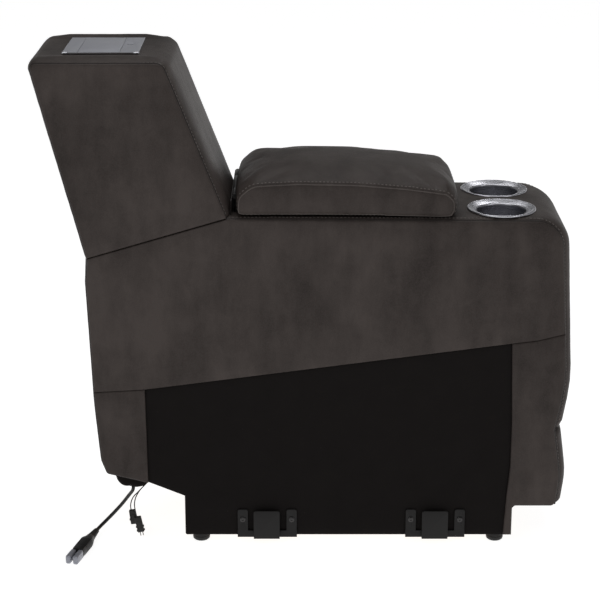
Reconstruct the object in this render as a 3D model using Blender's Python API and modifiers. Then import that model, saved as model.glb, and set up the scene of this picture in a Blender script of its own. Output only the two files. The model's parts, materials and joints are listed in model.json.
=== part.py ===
"""Storage console of a modular reclining sofa: a padded lift-up lid over a storage bin,
two cup holders, a raked back with a power hub, and brackets that join it to its neighbours.

Metres, +Z up, +X towards the front, -Y the near side. The origin is on the floor, under the
middle of the console. Lengths named ..._x are measured along X from the rear or the front end."""

import math

import bmesh
import bpy
from mathutils import Euler, Vector

# Overall sizes
width = 0.290
depth = 1.022
arm_height = 0.667
back_height = 0.9655

# Walls and clearances
gap = 0.0003
skin = 0.006
lining_skin = 0.0045
board = 0.015
top_cover = 0.012
foot_height = 0.020
base_z = foot_height + 0.0005

half = width / 2
rear = -depth / 2
front = depth / 2
frame_outer = half - skin - gap
frame_inner = frame_outer - board
inside = frame_inner - gap
top_z = arm_height - top_cover - gap

# Seam plane between the back and the body, rising towards the front
seam_x = rear + 0.3625
seam_run = 0.263
seam_drop = 0.078
seam_slope = seam_drop / seam_run
seam_tilt = math.atan(seam_slope)
seam_gap = 0.001
deck_x = seam_x - seam_run

# Back
back_top_rear = rear - 0.0042
back_top_front = rear + 0.2490
crown = 0.011
back_pad = 0.040
rear_cover_skin = 0.008

# Base
under_x = rear + 0.2735
under_z = 0.103
tail_z = 0.152
tail_x = rear + 0.1235
rail_x = front - 0.1235
rail_depth = 0.018
front_clearance = 0.083
pad_x = front - 0.0825

# Lid and bin
lid_rear = seam_x + 0.018
lid_front = front - 0.2335
lid_bottom = arm_height + 0.0058
lid_top = arm_height + 0.078
lid_board_thick = 0.012
lid_board_inset = 0.004
lid_axis_x = seam_x + 0.013
lid_axis_z = arm_height + 0.032
bin_depth = 0.270
bin_wall = 0.004
bin_rim = 0.0052
bin_lip = 0.008
bin_rear = lid_rear + 0.024
bin_front = lid_front - 0.017
bin_half = inside - 0.0134

# Hinge of the lid
knuckle = 0.0045
pin_radius = 0.002
leaf = 0.0015
hinge_half = 0.100

# Cup holders
cup_bore = 0.047
cup_wall = 0.0015
cup_flange = 0.0655
cup_depth = 0.078
cup_x = front - 0.1395
cup_y = inside - cup_bore - cup_wall - 0.0013

# Hub on the top of the back
hub_rear = rear + 0.0595
hub_front = rear + 0.2015
hub_half = 0.081
hub_plate = 0.0025
hub_door_rear = hub_rear + 0.028
hub_door_front = hub_rear + 0.106
hub_rim = 0.004
hub_depth = 0.045
hub_wall = 0.003
button_radius = 0.006
button_x = hub_rear + 0.119
button_y = 0.009
button_travel = 0.0015

# Knock-down joint of the back
blade_wide = 0.040
blade_thick = 0.003
blade_below = 0.095
blade_above = 0.080
blade_back = 0.135
receiver_wide = 0.058
receiver_thick = 0.0062

# Interlock brackets
bracket_thick = 0.0025
bracket_bottom = 0.017
bracket_top = 0.076
bracket_strip = 0.014
bracket_stand_off = 0.0085
ear_wide = 0.020
tab_wide = 0.051
rear_bracket_x = rear + 0.435
front_bracket_x = front - 0.2565
bracket_half = 0.0585
screw_height = 0.055
screw_shank = 0.0022
screw_head = 0.0055
screw_into = 0.010

# Feet
foot_radius = 0.017
foot_stem = 0.004
foot_rear_x = rear + 0.3035
foot_front_x = front - 0.1355
foot_y = half - 0.030

# Cloth pouch under the rear and the cords that come out of it
pouch_near = -0.108
pouch_far = -0.010
lead_diameter = 0.0071
wire_diameter = 0.0022
lead_route = [
    (-0.3424, -0.0962, 0.1037),
    (-0.3426, -0.0960, 0.1000),
    (-0.3438, -0.0944, 0.0952),
    (-0.3463, -0.0911, 0.0900),
    (-0.3502, -0.0866, 0.0837),
    (-0.3551, -0.0820, 0.0758),
    (-0.3605, -0.0781, 0.0673),
    (-0.3661, -0.0750, 0.0591),
    (-0.3719, -0.0730, 0.0513),
    (-0.3778, -0.0720, 0.0441),
    (-0.3839, -0.0721, 0.0373),
    (-0.3904, -0.0736, 0.0307),
    (-0.3970, -0.0765, 0.0247),
    (-0.4035, -0.0811, 0.0193),
    (-0.4094, -0.0873, 0.0153),
    (-0.4138, -0.0943, 0.0128),
    (-0.4163, -0.1003, 0.0120),
    (-0.4172, -0.1038, 0.0120),
]
left_wire_route = [
    (-0.3137, -0.1084, 0.1178),
    (-0.3140, -0.1108, 0.1178),
    (-0.3155, -0.1143, 0.1170),
    (-0.3182, -0.1168, 0.1150),
    (-0.3223, -0.1180, 0.1112),
    (-0.3270, -0.1180, 0.1062),
    (-0.3325, -0.1180, 0.1000),
    (-0.3385, -0.1180, 0.0938),
    (-0.3430, -0.1180, 0.0868),
    (-0.3458, -0.1180, 0.0790),
    (-0.3469, -0.1180, 0.0712),
    (-0.3465, -0.1180, 0.0660),
    (-0.3462, -0.1180, 0.0635),
]
right_wire_route = [
    (-0.3100, -0.1084, 0.1236),
    (-0.3101, -0.1110, 0.1237),
    (-0.3108, -0.1160, 0.1240),
    (-0.3126, -0.1225, 0.1236),
    (-0.3160, -0.1275, 0.1212),
    (-0.3205, -0.1295, 0.1172),
    (-0.3252, -0.1300, 0.1120),
    (-0.3298, -0.1300, 0.1052),
    (-0.3340, -0.1300, 0.0975),
    (-0.3370, -0.1300, 0.0880),
    (-0.3380, -0.1300, 0.0775),
    (-0.3366, -0.1300, 0.0660),
    (-0.3350, -0.1300, 0.0572),
    (-0.3344, -0.1300, 0.0545),
]
plug_axis = Vector((-0.246, -0.969, 0.0)).normalized()
plug_relief = 0.038
plug_body = 0.0690
plug_wide = 0.026
plug_high = 0.021

# Colour, roughness and metallic value of each finish
finishes = {
    "leather": ((0.041, 0.034, 0.031, 1), 0.48, 0.0),
    "black_cloth": ((0.008, 0.007, 0.007, 1), 0.92, 0.0),
    "plywood": ((0.46, 0.31, 0.17, 1), 0.70, 0.0),
    "black_steel": ((0.011, 0.010, 0.010, 1), 0.45, 1.0),
    "bright_steel": ((0.62, 0.61, 0.60, 1), 0.28, 1.0),
    "aluminium": ((0.20, 0.205, 0.23, 1), 0.36, 1.0),
    "black_plastic": ((0.012, 0.012, 0.012, 1), 0.50, 0.0),
    "bin_lining": ((0.020, 0.019, 0.018, 1), 0.85, 0.0),
    "rubber": ((0.015, 0.014, 0.014, 1), 0.60, 0.0),
}

for old in list(bpy.data.objects):
    bpy.data.objects.remove(old)

scene = bpy.context.scene
console = bpy.data.collections.new("storage_console")
cutters = bpy.data.collections.new("cutters")
scene.collection.children.link(console)
scene.collection.children.link(cutters)


# ---- helpers -------------------------------------------------------------------------------
def paint(obj, finish):
    """Gives the object its own Principled material."""
    colour, roughness, metallic = finishes[finish]
    material = bpy.data.materials.new(obj.name + "_" + finish)
    material.use_nodes = True
    shader = material.node_tree.nodes["Principled BSDF"]
    shader.inputs["Base Color"].default_value = colour
    shader.inputs["Roughness"].default_value = roughness
    shader.inputs["Metallic"].default_value = metallic
    obj.data.materials.clear()
    obj.data.materials.append(material)
    return obj


def add(name, data, finish=None):
    """Links a new object: a part with its finish, or a hidden cutter without one."""
    obj = bpy.data.objects.new(name, data)
    if finish:
        console.objects.link(obj)
        paint(obj, finish)
    else:
        cutters.objects.link(obj)
        obj.hide_render = True
        obj.display_type = "WIRE"
    return obj


def box(name, low, high, finish=None):
    """A block between two corners, with its origin at its middle."""
    shape = bmesh.new()
    bmesh.ops.create_cube(shape, size=1)
    size = [b - a for a, b in zip(low, high)]
    bmesh.ops.scale(shape, vec=size, verts=shape.verts)
    mesh = bpy.data.meshes.new(name)
    shape.to_mesh(mesh)
    shape.free()
    obj = add(name, mesh, finish)
    obj.location = [(a + b) / 2 for a, b in zip(low, high)]
    return obj


def tilted_box(name, middle, size, finish=None):
    """A block square to the seam plane: size is along the seam, across and up the slide."""
    half_size = [s / 2 for s in size]
    obj = box(name, [-s for s in half_size], half_size, finish)
    obj.location = middle
    obj.rotation_euler = (0, -seam_tilt, 0)
    return obj


def cylinder(name, radius, start, end, finish=None, sides=24, end_radius=None):
    """A round bar between two points on its axis, or a cone where end_radius is another size."""
    shape = bmesh.new()
    along = Vector(end) - Vector(start)
    bmesh.ops.create_cone(
        shape, cap_ends=True, segments=sides, depth=along.length,
        radius1=radius, radius2=radius if end_radius is None else end_radius,
    )
    mesh = bpy.data.meshes.new(name)
    shape.to_mesh(mesh)
    shape.free()
    mesh.shade_smooth()
    mesh.set_sharp_from_angle(angle=math.radians(40))
    obj = add(name, mesh, finish)
    obj.location = (Vector(start) + Vector(end)) / 2
    obj.rotation_euler = Vector((0, 0, 1)).rotation_difference(along).to_euler()
    return obj


def rounded(corners):
    """The outline with each (x, z, radius) corner replaced by an arc, a step every 18 degrees."""
    points = []
    count = len(corners)
    for i, corner in enumerate(corners):
        here = Vector(corner[:2])
        if len(corner) == 2:
            points.append(here)
            continue
        to_last = (Vector(corners[i - 1][:2]) - here).normalized()
        to_next = (Vector(corners[(i + 1) % count][:2]) - here).normalized()
        opening = to_last.angle(to_next)
        reach = corner[2] / math.tan(opening / 2)
        centre = here + (to_last + to_next).normalized() * corner[2] / math.sin(opening / 2)
        start = here + to_last * reach - centre
        end = here + to_next * reach - centre
        turn = start.angle_signed(end)
        steps = max(2, math.ceil(abs(turn) / math.radians(18)))
        for step in range(steps + 1):
            angle = -turn * step / steps
            cosine = math.cos(angle)
            sine = math.sin(angle)
            points.append(centre + Vector((start.x * cosine - start.y * sine,
                                           start.x * sine + start.y * cosine)))
    return points


def plate(name, corners, y_low, y_high, finish=None):
    """A flat outline in X and Z, extruded from y_low to y_high and made a mesh."""
    curve = bpy.data.curves.new(name, "CURVE")
    curve.dimensions = "2D"
    curve.fill_mode = "BOTH"
    curve.extrude = (y_high - y_low) / 2
    spline = curve.splines.new("POLY")
    points = rounded(corners)
    spline.points.add(len(points) - 1)
    for point, place in zip(spline.points, points):
        point.co = (place.x, place.y, 0, 1)
    spline.use_cyclic_u = True
    drawn = bpy.data.objects.new(name + "_outline", curve)
    cutters.objects.link(drawn)
    bpy.context.view_layer.update()
    graph = bpy.context.evaluated_depsgraph_get()
    mesh = bpy.data.meshes.new_from_object(drawn.evaluated_get(graph))
    bpy.data.objects.remove(drawn)
    shape = bmesh.new()
    shape.from_mesh(mesh)
    bmesh.ops.remove_doubles(shape, verts=shape.verts, dist=1e-6)
    bmesh.ops.recalc_face_normals(shape, faces=shape.faces)
    shape.to_mesh(mesh)
    shape.free()
    obj = add(name, mesh, finish)
    obj.rotation_euler = (math.pi / 2, 0, 0)
    obj.location = (0, (y_low + y_high) / 2, 0)
    return obj


def turned(name, profile, place, finish, sides=32):
    """A turned piece: the closed profile of (radius, z) points swept round the vertical."""
    mesh = bpy.data.meshes.new(name)
    closed = profile[0][0] > 0
    edges = [(i, i + 1) for i in range(len(profile) - 1)]
    if closed:
        edges.append((len(profile) - 1, 0))
    mesh.from_pydata([(r, 0, z) for r, z in profile], edges, [])
    obj = add(name, mesh, finish)
    sweep = obj.modifiers.new("sweep", "SCREW")
    sweep.steps = sides
    sweep.render_steps = sides
    sweep.use_merge_vertices = True
    sweep.merge_threshold = 0.00001
    obj.location = place
    return obj


def cut(obj, cutter):
    """Takes the cutter's shape out of the object."""
    step = obj.modifiers.new("cut_" + cutter.name, "BOOLEAN")
    step.operation = "DIFFERENCE"
    step.solver = "EXACT"
    step.object = cutter
    return obj


def join(obj, other):
    """Adds a hidden solid to the object, as one body."""
    step = obj.modifiers.new("join_" + other.name, "BOOLEAN")
    step.operation = "UNION"
    step.solver = "EXACT"
    step.object = other
    return obj


def curve_through(route, spacing):
    """Points a set distance apart along the smooth curve through the route's points.

    The first and last stretches stay straight, so that the ends meet their neighbours squarely."""
    places = [Vector(p) for p in route]
    places = [2 * places[0] - places[1]] + places + [2 * places[-1] - places[-2]]
    fine = []
    for before, here, after, beyond in zip(places, places[1:], places[2:], places[3:]):
        for step in range(16):
            t = step / 16
            fine.append(0.5 * (
                2 * here
                + (after - before) * t
                + (2 * before - 5 * here + 4 * after - beyond) * t ** 2
                + (3 * here - before - 3 * after + beyond) * t ** 3
            ))
    fine.append(places[-2])
    fine = fine[16:-16]
    length = sum((b - a).length for a, b in zip(fine, fine[1:]))
    count = max(2, round(length / spacing))
    picked = [places[1], fine[0]]
    walked = 0
    for a, b in zip(fine, fine[1:]):
        walked += (b - a).length
        if walked >= (len(picked) - 1) * length / count and len(picked) <= count:
            picked.append(b)
    return picked + [fine[-1], places[-2]]


def tube(name, route, diameter, spacing, finish):
    """A cord: a curve object with a round bevel and filled caps."""
    curve = bpy.data.curves.new(name, "CURVE")
    curve.dimensions = "3D"
    curve.bevel_depth = diameter / 2
    curve.bevel_resolution = 2
    curve.use_fill_caps = True
    spline = curve.splines.new("POLY")
    points = curve_through(route, spacing)
    spline.points.add(len(points) - 1)
    for point, place in zip(spline.points, points):
        point.co = (*place, 1)
    return add(name, curve, finish)


def seam_z(x, above=0.0):
    """Height of the seam plane at x, or of the plane parallel to it a little above."""
    return arm_height + (x - seam_x) * seam_slope + above / math.cos(seam_tilt)


def pivot(name, place):
    """An empty on a joint's axis, which the moving pieces hang from."""
    empty = bpy.data.objects.new(name, None)
    empty.location = place
    empty.empty_display_size = 0.05
    console.objects.link(empty)
    return empty


def hang(obj, empty):
    obj.parent = empty
    obj.location = obj.location - empty.location
    return obj


sides = (("near", -1), ("far", 1))


def span(side, inner, outer):
    """The low and high Y of a layer between two distances from the middle."""
    return (inner, outer) if side > 0 else (-outer, -inner)


# ---- screws: their holes go through the brackets, linings and side frames ------------------
bracket_middles = {"rear": rear_bracket_x, "front": front_bracket_x}
lining_face = half - skin + lining_skin
bracket_inner = lining_face + gap
bracket_outer = bracket_inner + bracket_thick
ear_x = bracket_half - ear_wide / 2 - 0.0005
screw_tip = frame_outer - screw_into

for side_name, side in sides:
    for place_name, middle in bracket_middles.items():
        for end_name, end in (("a", -1), ("b", 1)):
            x = middle + end * ear_x
            name = "_".join(("bracket_screw", side_name, place_name, end_name))
            inner, outer = span(side, screw_tip, bracket_outer + 0.0015)
            screw = cylinder(name, screw_shank, (x, inner, screw_height),
                             (x, outer, screw_height), "black_steel", 12)
            low, high = span(side, bracket_outer + gap, bracket_outer + 0.0025)
            head = cylinder(name + "_head", screw_head, (x, low, screw_height),
                            (x, high, screw_height), sides=16)
            join(screw, head)


def screw_holes(obj, side, x_middles):
    """Drills the clearance holes of the bracket screws."""
    for middle in x_middles:
        for end in (-1, 1):
            x = middle + end * ear_x
            low, high = span(side, screw_tip - gap, bracket_outer + 0.005)
            hole = cylinder("screw_hole", screw_shank + gap, (x, low, screw_height),
                            (x, high, screw_height), sides=12)
            cut(obj, hole)


# ---- base and frames -----------------------------------------------------------------------
rear_wall = [
    (deck_x, seam_z(deck_x)),
    (deck_x - 0.004, seam_z(deck_x) - 0.051),
    (rear + 0.1045, 0.288),
    (rear + 0.1135, 0.179),
    (tail_x, tail_z),
]
knee_x = rear + 0.2035
knee_z = 0.132
lining_top_rear = (rear + 0.2015, 0.326)
lining_top_front = (front - 0.1185, 0.420)

frame_outline = [
    (under_x + 0.003, base_z),
    (rail_x - gap, base_z),
    (rail_x - gap, front_clearance + 0.0105),
    (pad_x - gap, front_clearance + 0.0105),
    (pad_x - gap, top_z),
    (seam_x - 0.014, top_z),
    (deck_x + 0.010, seam_z(deck_x + 0.010, -0.0085)),
    (rear_wall[1][0] + skin + 0.001, rear_wall[1][1]),
    (rear_wall[2][0] + skin + 0.001, rear_wall[2][1]),
    (rear_wall[3][0] + skin + 0.001, rear_wall[3][1]),
    (tail_x + skin + 0.001, tail_z + 0.003),
    (knee_x + 0.003, knee_z + 0.003),
    (under_x + 0.003, under_z + 0.003),
]
for side_name, side in sides:
    low, high = span(side, frame_inner, frame_outer)
    frame = plate("side_frame_" + side_name, frame_outline, low, high, "plywood")
    screw_holes(frame, side, bracket_middles.values())

box("front_rail", (rail_x, -frame_outer, base_z),
    (rail_x + rail_depth, frame_outer, front_clearance - gap), "plywood")

base_board = box("base_board", (under_x + 0.0105, -inside, base_z),
                 (rail_x - gap, inside, base_z + board), "plywood")
for x in (foot_rear_x, foot_front_x):
    for y in (-foot_y, foot_y):
        hole = cylinder("foot_hole", foot_stem + gap, (x, y, base_z - 0.01),
                        (x, y, base_z + 0.03), sides=16)
        cut(base_board, hole)

plate("rear_floor", [
    (tail_x + 0.008, tail_z - 0.002 + 0.001),
    (knee_x, knee_z + 0.001),
    (under_x, under_z),
    (under_x, base_z),
    (under_x + 0.010, base_z),
    (under_x + 0.010, under_z + 0.008),
    (knee_x + 0.004, knee_z + 0.010),
    (tail_x + 0.008, tail_z + 0.008),
], -inside, inside, "plywood")

top_board = box("top_board", (seam_x + gap, -inside, top_z - board),
                (pad_x - gap, inside, top_z), "plywood")
arm_cover = box("arm_top_cover", (seam_x + gap, -frame_outer, top_z + gap),
                (pad_x - gap, frame_outer, arm_height), "leather")
bin_hole = box("bin_hole", (bin_rear - gap, -bin_half - gap, top_z - 0.05),
               (bin_front + gap, bin_half + gap, arm_height + 0.05))
cup_holes = [
    cylinder("cup_hole", cup_bore + cup_wall + gap, (cup_x, y, top_z - 0.05),
             (cup_x, y, arm_height + 0.05), sides=32)
    for y in (-cup_y, cup_y)
]
for obj in (top_board, arm_cover):
    cut(obj, bin_hole)
    for hole in cup_holes:
        cut(obj, hole)

storage_bin = box("storage_bin", (bin_rear, -bin_half, arm_height + gap - bin_depth),
                  (bin_front, bin_half, arm_height + bin_rim), "bin_lining")
bin_collar = box("bin_collar", (bin_rear - bin_lip, -bin_half - bin_lip, arm_height + gap),
                 (bin_front + bin_lip, bin_half + bin_lip, arm_height + bin_rim))
bin_space = box("bin_space",
                (bin_rear + bin_wall, -bin_half + bin_wall, arm_height - bin_depth + bin_wall),
                (bin_front - bin_wall, bin_half - bin_wall, arm_height + 0.05))
cut(join(storage_bin, bin_collar), bin_space)

flange_z = arm_height + gap
cup_profile = [
    (cup_flange - 0.0015, flange_z + 0.0045),
    (cup_flange, flange_z + 0.0030),
    (cup_flange, flange_z),
    (cup_bore + cup_wall, flange_z),
    (cup_bore + cup_wall, flange_z - cup_depth + 0.008),
    (cup_bore - 0.006, flange_z - cup_depth),
    (0.0, flange_z - cup_depth),
    (0.0, flange_z - cup_depth + cup_wall),
    (cup_bore - 0.007, flange_z - cup_depth + cup_wall),
    (cup_bore, flange_z - cup_depth + 0.010),
    (cup_bore, flange_z + 0.0005),
]
for side_name, side in sides:
    turned("cup_holder_" + side_name, cup_profile, (cup_x, side * cup_y, 0), "bright_steel")

foot_profile = [
    (0.0, base_z + 0.010),
    (foot_stem, base_z + 0.010),
    (foot_stem, foot_height),
    (foot_radius - 0.002, foot_height),
    (foot_radius, foot_height - 0.003),
    (foot_radius, 0.003),
    (foot_radius - 0.003, 0.0),
    (0.0, 0.0),
]
for side_name, side in sides:
    for place_name, x in (("rear", foot_rear_x), ("front", foot_front_x)):
        turned("foot_" + side_name + "_" + place_name, foot_profile,
               (x, side * foot_y, 0), "black_plastic", 24)

# ---- covers of the body --------------------------------------------------------------------
lining_outline = [
    lining_top_rear,
    lining_top_front,
    (front - 0.1135, 0.256),
    (front - 0.1135, 0.167),
    (front - 0.1185, 0.108),
    (rail_x, base_z),
    (under_x, base_z),
    (under_x, under_z),
    (knee_x, knee_z),
]
edge = 0.0005
cover_outline = [
    (seam_x, arm_height),
    (front - 0.0285, arm_height - 0.005, 0.045),
    (front - 0.0115, 0.340, 0.080),
    (front - 0.0295, 0.244, 0.010),
    (front - 0.0150, 0.140, 0.050),
    (front - 0.0225, front_clearance, 0.010),
    (rail_x + rail_depth + 0.005, front_clearance),
    (rail_x + rail_depth, front_clearance - 0.010),
    (rail_x + rail_depth, base_z),
    (rail_x + edge, base_z),
    (front - 0.1185 + edge, 0.108),
    (front - 0.1135 + edge, 0.167),
    (front - 0.1135 + edge, 0.256),
    (lining_top_front[0] + edge, lining_top_front[1] + edge),
    (lining_top_rear[0] - edge, lining_top_rear[1] + edge),
    (knee_x - edge, knee_z),
    (tail_x, tail_z, 0.008),
    rear_wall[3],
    rear_wall[2],
    rear_wall[1],
    rear_wall[0],
]
for side_name, side in sides:
    low, high = span(side, half - skin, half)
    plate("side_cover_" + side_name, cover_outline, low, high, "leather")
    low, high = span(side, half - skin, lining_face)
    lining = plate("side_lining_" + side_name, lining_outline, low, high, "black_cloth")
    screw_holes(lining, side, bracket_middles.values())

plate("front_pad", [
    (pad_x, arm_height),
    (front - 0.0150, arm_height - 0.002, 0.045),
    (front + 0.0010, 0.350, 0.110),
    (front - 0.0210, 0.244, 0.008),
    (front - 0.0010, 0.145, 0.060),
    (front - 0.0130, front_clearance, 0.014),
    (rail_x + gap, front_clearance),
    (rail_x + gap, front_clearance + 0.010),
    (pad_x, front_clearance + 0.010),
], -frame_outer, frame_outer, "leather")

rear_cover = plate("rear_cover", [
    (tail_x + 0.001, tail_z),
    (rear_wall[3][0], rear_wall[3][1]),
    (rear_wall[2][0], rear_wall[2][1]),
    (rear_wall[1][0], rear_wall[1][1]),
    (rear_wall[0][0], rear_wall[0][1] - 0.001),
    (seam_x - 0.0005, seam_z(seam_x - 0.0005, -0.001)),
    (seam_x - 0.0005, seam_z(seam_x - 0.0005, -0.007)),
    (deck_x + skin, seam_z(deck_x + skin, -0.007)),
    (rear_wall[1][0] + skin, rear_wall[1][1]),
    (rear_wall[2][0] + skin, rear_wall[2][1]),
    (rear_wall[3][0] + skin, rear_wall[3][1]),
    (tail_x + 0.001 + skin, tail_z),
], -frame_outer, frame_outer, "leather")

# ---- knock-down joint: a blade on the back, a receiver in the body -------------------------
up_slide = Vector((-math.sin(seam_tilt), 0, math.cos(seam_tilt)))
blade_foot = Vector((seam_x - blade_back, 0, seam_z(seam_x - blade_back)))
back_slide = pivot("back_slide", blade_foot)
blades = []
for side_name, side in sides:
    low, high = span(side, inside - blade_thick, inside)
    across = Vector((0, (low + high) / 2, 0))
    middle = blade_foot + up_slide * (blade_above - blade_below) / 2 + across
    blade = tilted_box("back_blade_" + side_name, middle,
                       (blade_wide, blade_thick, blade_above + blade_below), "bright_steel")
    blades.append(hang(blade, back_slide))
    slot = tilted_box("deck_slot_" + side_name, blade_foot + across,
                      (blade_wide + 0.002, blade_thick + 0.0012, 0.05))
    cut(rear_cover, slot)
    low, high = span(side, inside - receiver_thick, inside)
    across = Vector((0, (low + high) / 2, 0))
    middle = blade_foot - up_slide * (0.012 + blade_below / 2) + across
    receiver = tilted_box("back_receiver_" + side_name, middle,
                          (receiver_wide, receiver_thick, blade_below), "black_steel")
    low, high = span(side, inside - blade_thick - 0.0005, inside + 0.005)
    channel = tilted_box("receiver_channel_" + side_name,
                         blade_foot - up_slide * 0.05 + Vector((0, (low + high) / 2, 0)),
                         (blade_wide + 0.001, high - low, 0.3))
    cut(receiver, channel)

# ---- back: boards, pad and covers ----------------------------------------------------------
lift = seam_gap


def between(z, low, high):
    """X at a height on the line through two (x, z) points."""
    return low[0] + (z - low[1]) * (high[0] - low[0]) / (high[1] - low[1])


def back_rear(z):
    """X of the back's rear face at a height."""
    return between(z, (deck_x - 0.0055, seam_z(deck_x) + 0.010), (back_top_rear, back_height))


def back_front(z):
    """X of the seam along the back's front edge at a height."""
    return between(z, (seam_x, arm_height), (back_top_front, back_height - 0.010))


back_top_z = back_height - top_cover
face_x = crown * 1.07
corner_x = back_front(back_height - 0.010)
back_base = seam_z(deck_x) + 0.004
cover_top = back_height - 0.009
side_outline = [
    (back_rear(back_base) + 0.001, seam_z(back_rear(back_base) + 0.001, lift)),
    (seam_x, seam_z(seam_x, lift)),
    (back_front(cover_top), cover_top, 0.018),
    (back_rear(cover_top) + 0.003, cover_top, 0.010),
]
board_outline = [
    (back_rear(back_base) + rear_cover_skin + 0.004,
     seam_z(back_rear(back_base) + rear_cover_skin + 0.004, lift)),
    (seam_x - back_pad - 0.001, seam_z(seam_x - back_pad - 0.001, lift)),
    (back_front(back_top_z) - back_pad - 0.001, back_top_z - gap),
    (back_rear(back_top_z) + rear_cover_skin + 0.003, back_top_z - gap),
]
pieces = []
for side_name, side in sides:
    low, high = span(side, half - skin, half)
    pieces.append(plate("back_side_cover_" + side_name, side_outline, low, high, "leather"))
    low, high = span(side, frame_inner, frame_outer)
    pieces.append(plate("back_frame_" + side_name, board_outline, low, high, "plywood"))

rail_rear_x = back_rear(back_base) + rear_cover_skin + 0.006
rail_front_x = seam_x - back_pad - 0.007
pieces.append(plate("back_bottom_board", [
    (rail_rear_x, seam_z(rail_rear_x, lift)),
    (rail_front_x, seam_z(rail_front_x, lift)),
    (rail_front_x, seam_z(rail_front_x, lift + board)),
    (rail_rear_x, seam_z(rail_rear_x, lift + board)),
], -inside + blade_thick + gap, inside - blade_thick - gap, "plywood"))

pad_front_top = (corner_x + face_x, back_height, 0.022)
pad_rear_top = corner_x - 0.030
pieces.append(plate("back_front_pad", [
    (seam_x - back_pad, seam_z(seam_x - back_pad, lift)),
    (seam_x + 0.0085, seam_z(seam_x + 0.0085, lift), 0.007),
    pad_front_top,
    (pad_rear_top, back_height),
    (pad_rear_top, back_top_z - 0.001),
    (back_front(back_top_z) - back_pad, back_top_z - 0.001),
], -frame_outer, frame_outer, "leather"))

rear_top = back_rear(back_height)
pieces.append(plate("back_rear_cover", [
    (back_rear(back_base), seam_z(back_rear(back_base), lift)),
    (rear_top, back_height, 0.014),
    (rear_top + 0.022, back_height),
    (rear_top + 0.022, back_top_z),
    (rear_top + rear_cover_skin + 0.004, back_top_z),
    (back_rear(back_base) + rear_cover_skin,
     seam_z(back_rear(back_base) + rear_cover_skin, lift)),
], -frame_outer, frame_outer, "leather"))

back_top = box("back_top_cover", (rear_top + 0.022 + gap, -frame_outer, back_top_z),
               (pad_rear_top - gap, frame_outer, back_height), "leather")
pieces.append(back_top)

# ---- power hub -----------------------------------------------------------------------------
hub_z = back_height + gap
door_z = hub_z + hub_plate / 2
well_rear = hub_door_rear - 0.001
well_front = hub_front - 0.010
well_half = hub_half - hub_rim - 0.003
cut(back_top, box("hub_hole", (well_rear - gap, -well_half - gap, back_top_z - 0.05),
                  (well_front + gap, well_half + gap, back_height + 0.05)))
housing = box("hub_housing", (well_rear, -well_half, back_height - hub_depth),
              (well_front, well_half, back_height), "black_plastic")
cut(housing, box("hub_space",
                 (well_rear + hub_wall, -well_half + hub_wall,
                  back_height - hub_depth + hub_wall),
                 (hub_door_front - hub_wall, well_half - hub_wall, back_height + 0.05)))
cut(housing, cylinder("button_well", button_radius + 0.0015,
                      (button_x, button_y, back_height - 0.006),
                      (button_x, button_y, back_height + 0.02), sides=24))
pieces.append(housing)

bezel = box("hub_bezel", (hub_rear, -hub_half, hub_z),
            (hub_front, hub_half, hub_z + hub_plate), "aluminium")
cut(bezel, box("door_hole", (hub_door_rear - gap, -hub_half + hub_rim - gap, hub_z - 0.01),
               (hub_door_front + gap, hub_half - hub_rim + gap, hub_z + 0.02)))
cut(bezel, cylinder("button_hole", button_radius + 0.0004,
                    (button_x, button_y, hub_z - 0.01),
                    (button_x, button_y, hub_z + 0.02), sides=32))
pieces.append(bezel)

socket_top = back_height - hub_depth + hub_wall + 0.014
pieces.append(box("hub_socket_block",
                  (well_rear + hub_wall + gap, -well_half + hub_wall + gap,
                   back_height - hub_depth + hub_wall + gap),
                  (hub_door_front - hub_wall - gap, well_half - hub_wall - gap, socket_top),
                  "black_plastic"))

for piece in pieces:
    hang(piece, back_slide)

door_pivot = pivot("hub_door_pivot", (hub_door_rear + hub_plate / 2, 0, door_z))
door_round = hub_plate / 2 - 0.0001
hang(plate("hub_door", [
    (hub_door_rear + 0.0001, door_z - door_round, door_round),
    (hub_door_front - gap, door_z - door_round),
    (hub_door_front - gap, door_z + door_round),
    (hub_door_rear + 0.0001, door_z + door_round, door_round * 0.9),
], -hub_half + hub_rim + gap, hub_half - hub_rim - gap, "aluminium"), door_pivot)

button_pivot = pivot("hub_button_slide", (button_x, button_y, hub_z))
hang(cylinder("hub_button", button_radius, (button_x, button_y, back_height - 0.003),
              (button_x, button_y, hub_z + hub_plate + 0.001), "aluminium", 32),
     button_pivot)

# ---- lid and its hinge ---------------------------------------------------------------------
lid_pivot = pivot("lid_pivot", (lid_axis_x, 0, lid_axis_z))
board_low = (lid_rear + lid_board_inset, -half + 0.020, lid_bottom)
board_high = (lid_front - 0.024, half - 0.020, lid_bottom + lid_board_thick)
hang(box("lid_board", board_low, board_high, "plywood"), lid_pivot)
cushion = plate("lid_cushion", [
    (lid_rear, lid_bottom, 0.005),
    (lid_rear + 0.008, lid_top, 0.026),
    (lid_front - 0.012, lid_top - 0.009, 0.026),
    (lid_front, lid_bottom, 0.008),
], -half, half, "leather")
cut(cushion, box("lid_board_recess",
                 [a - gap for a in board_low], [b + gap for b in board_high]))
hang(cushion, lid_pivot)

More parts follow.
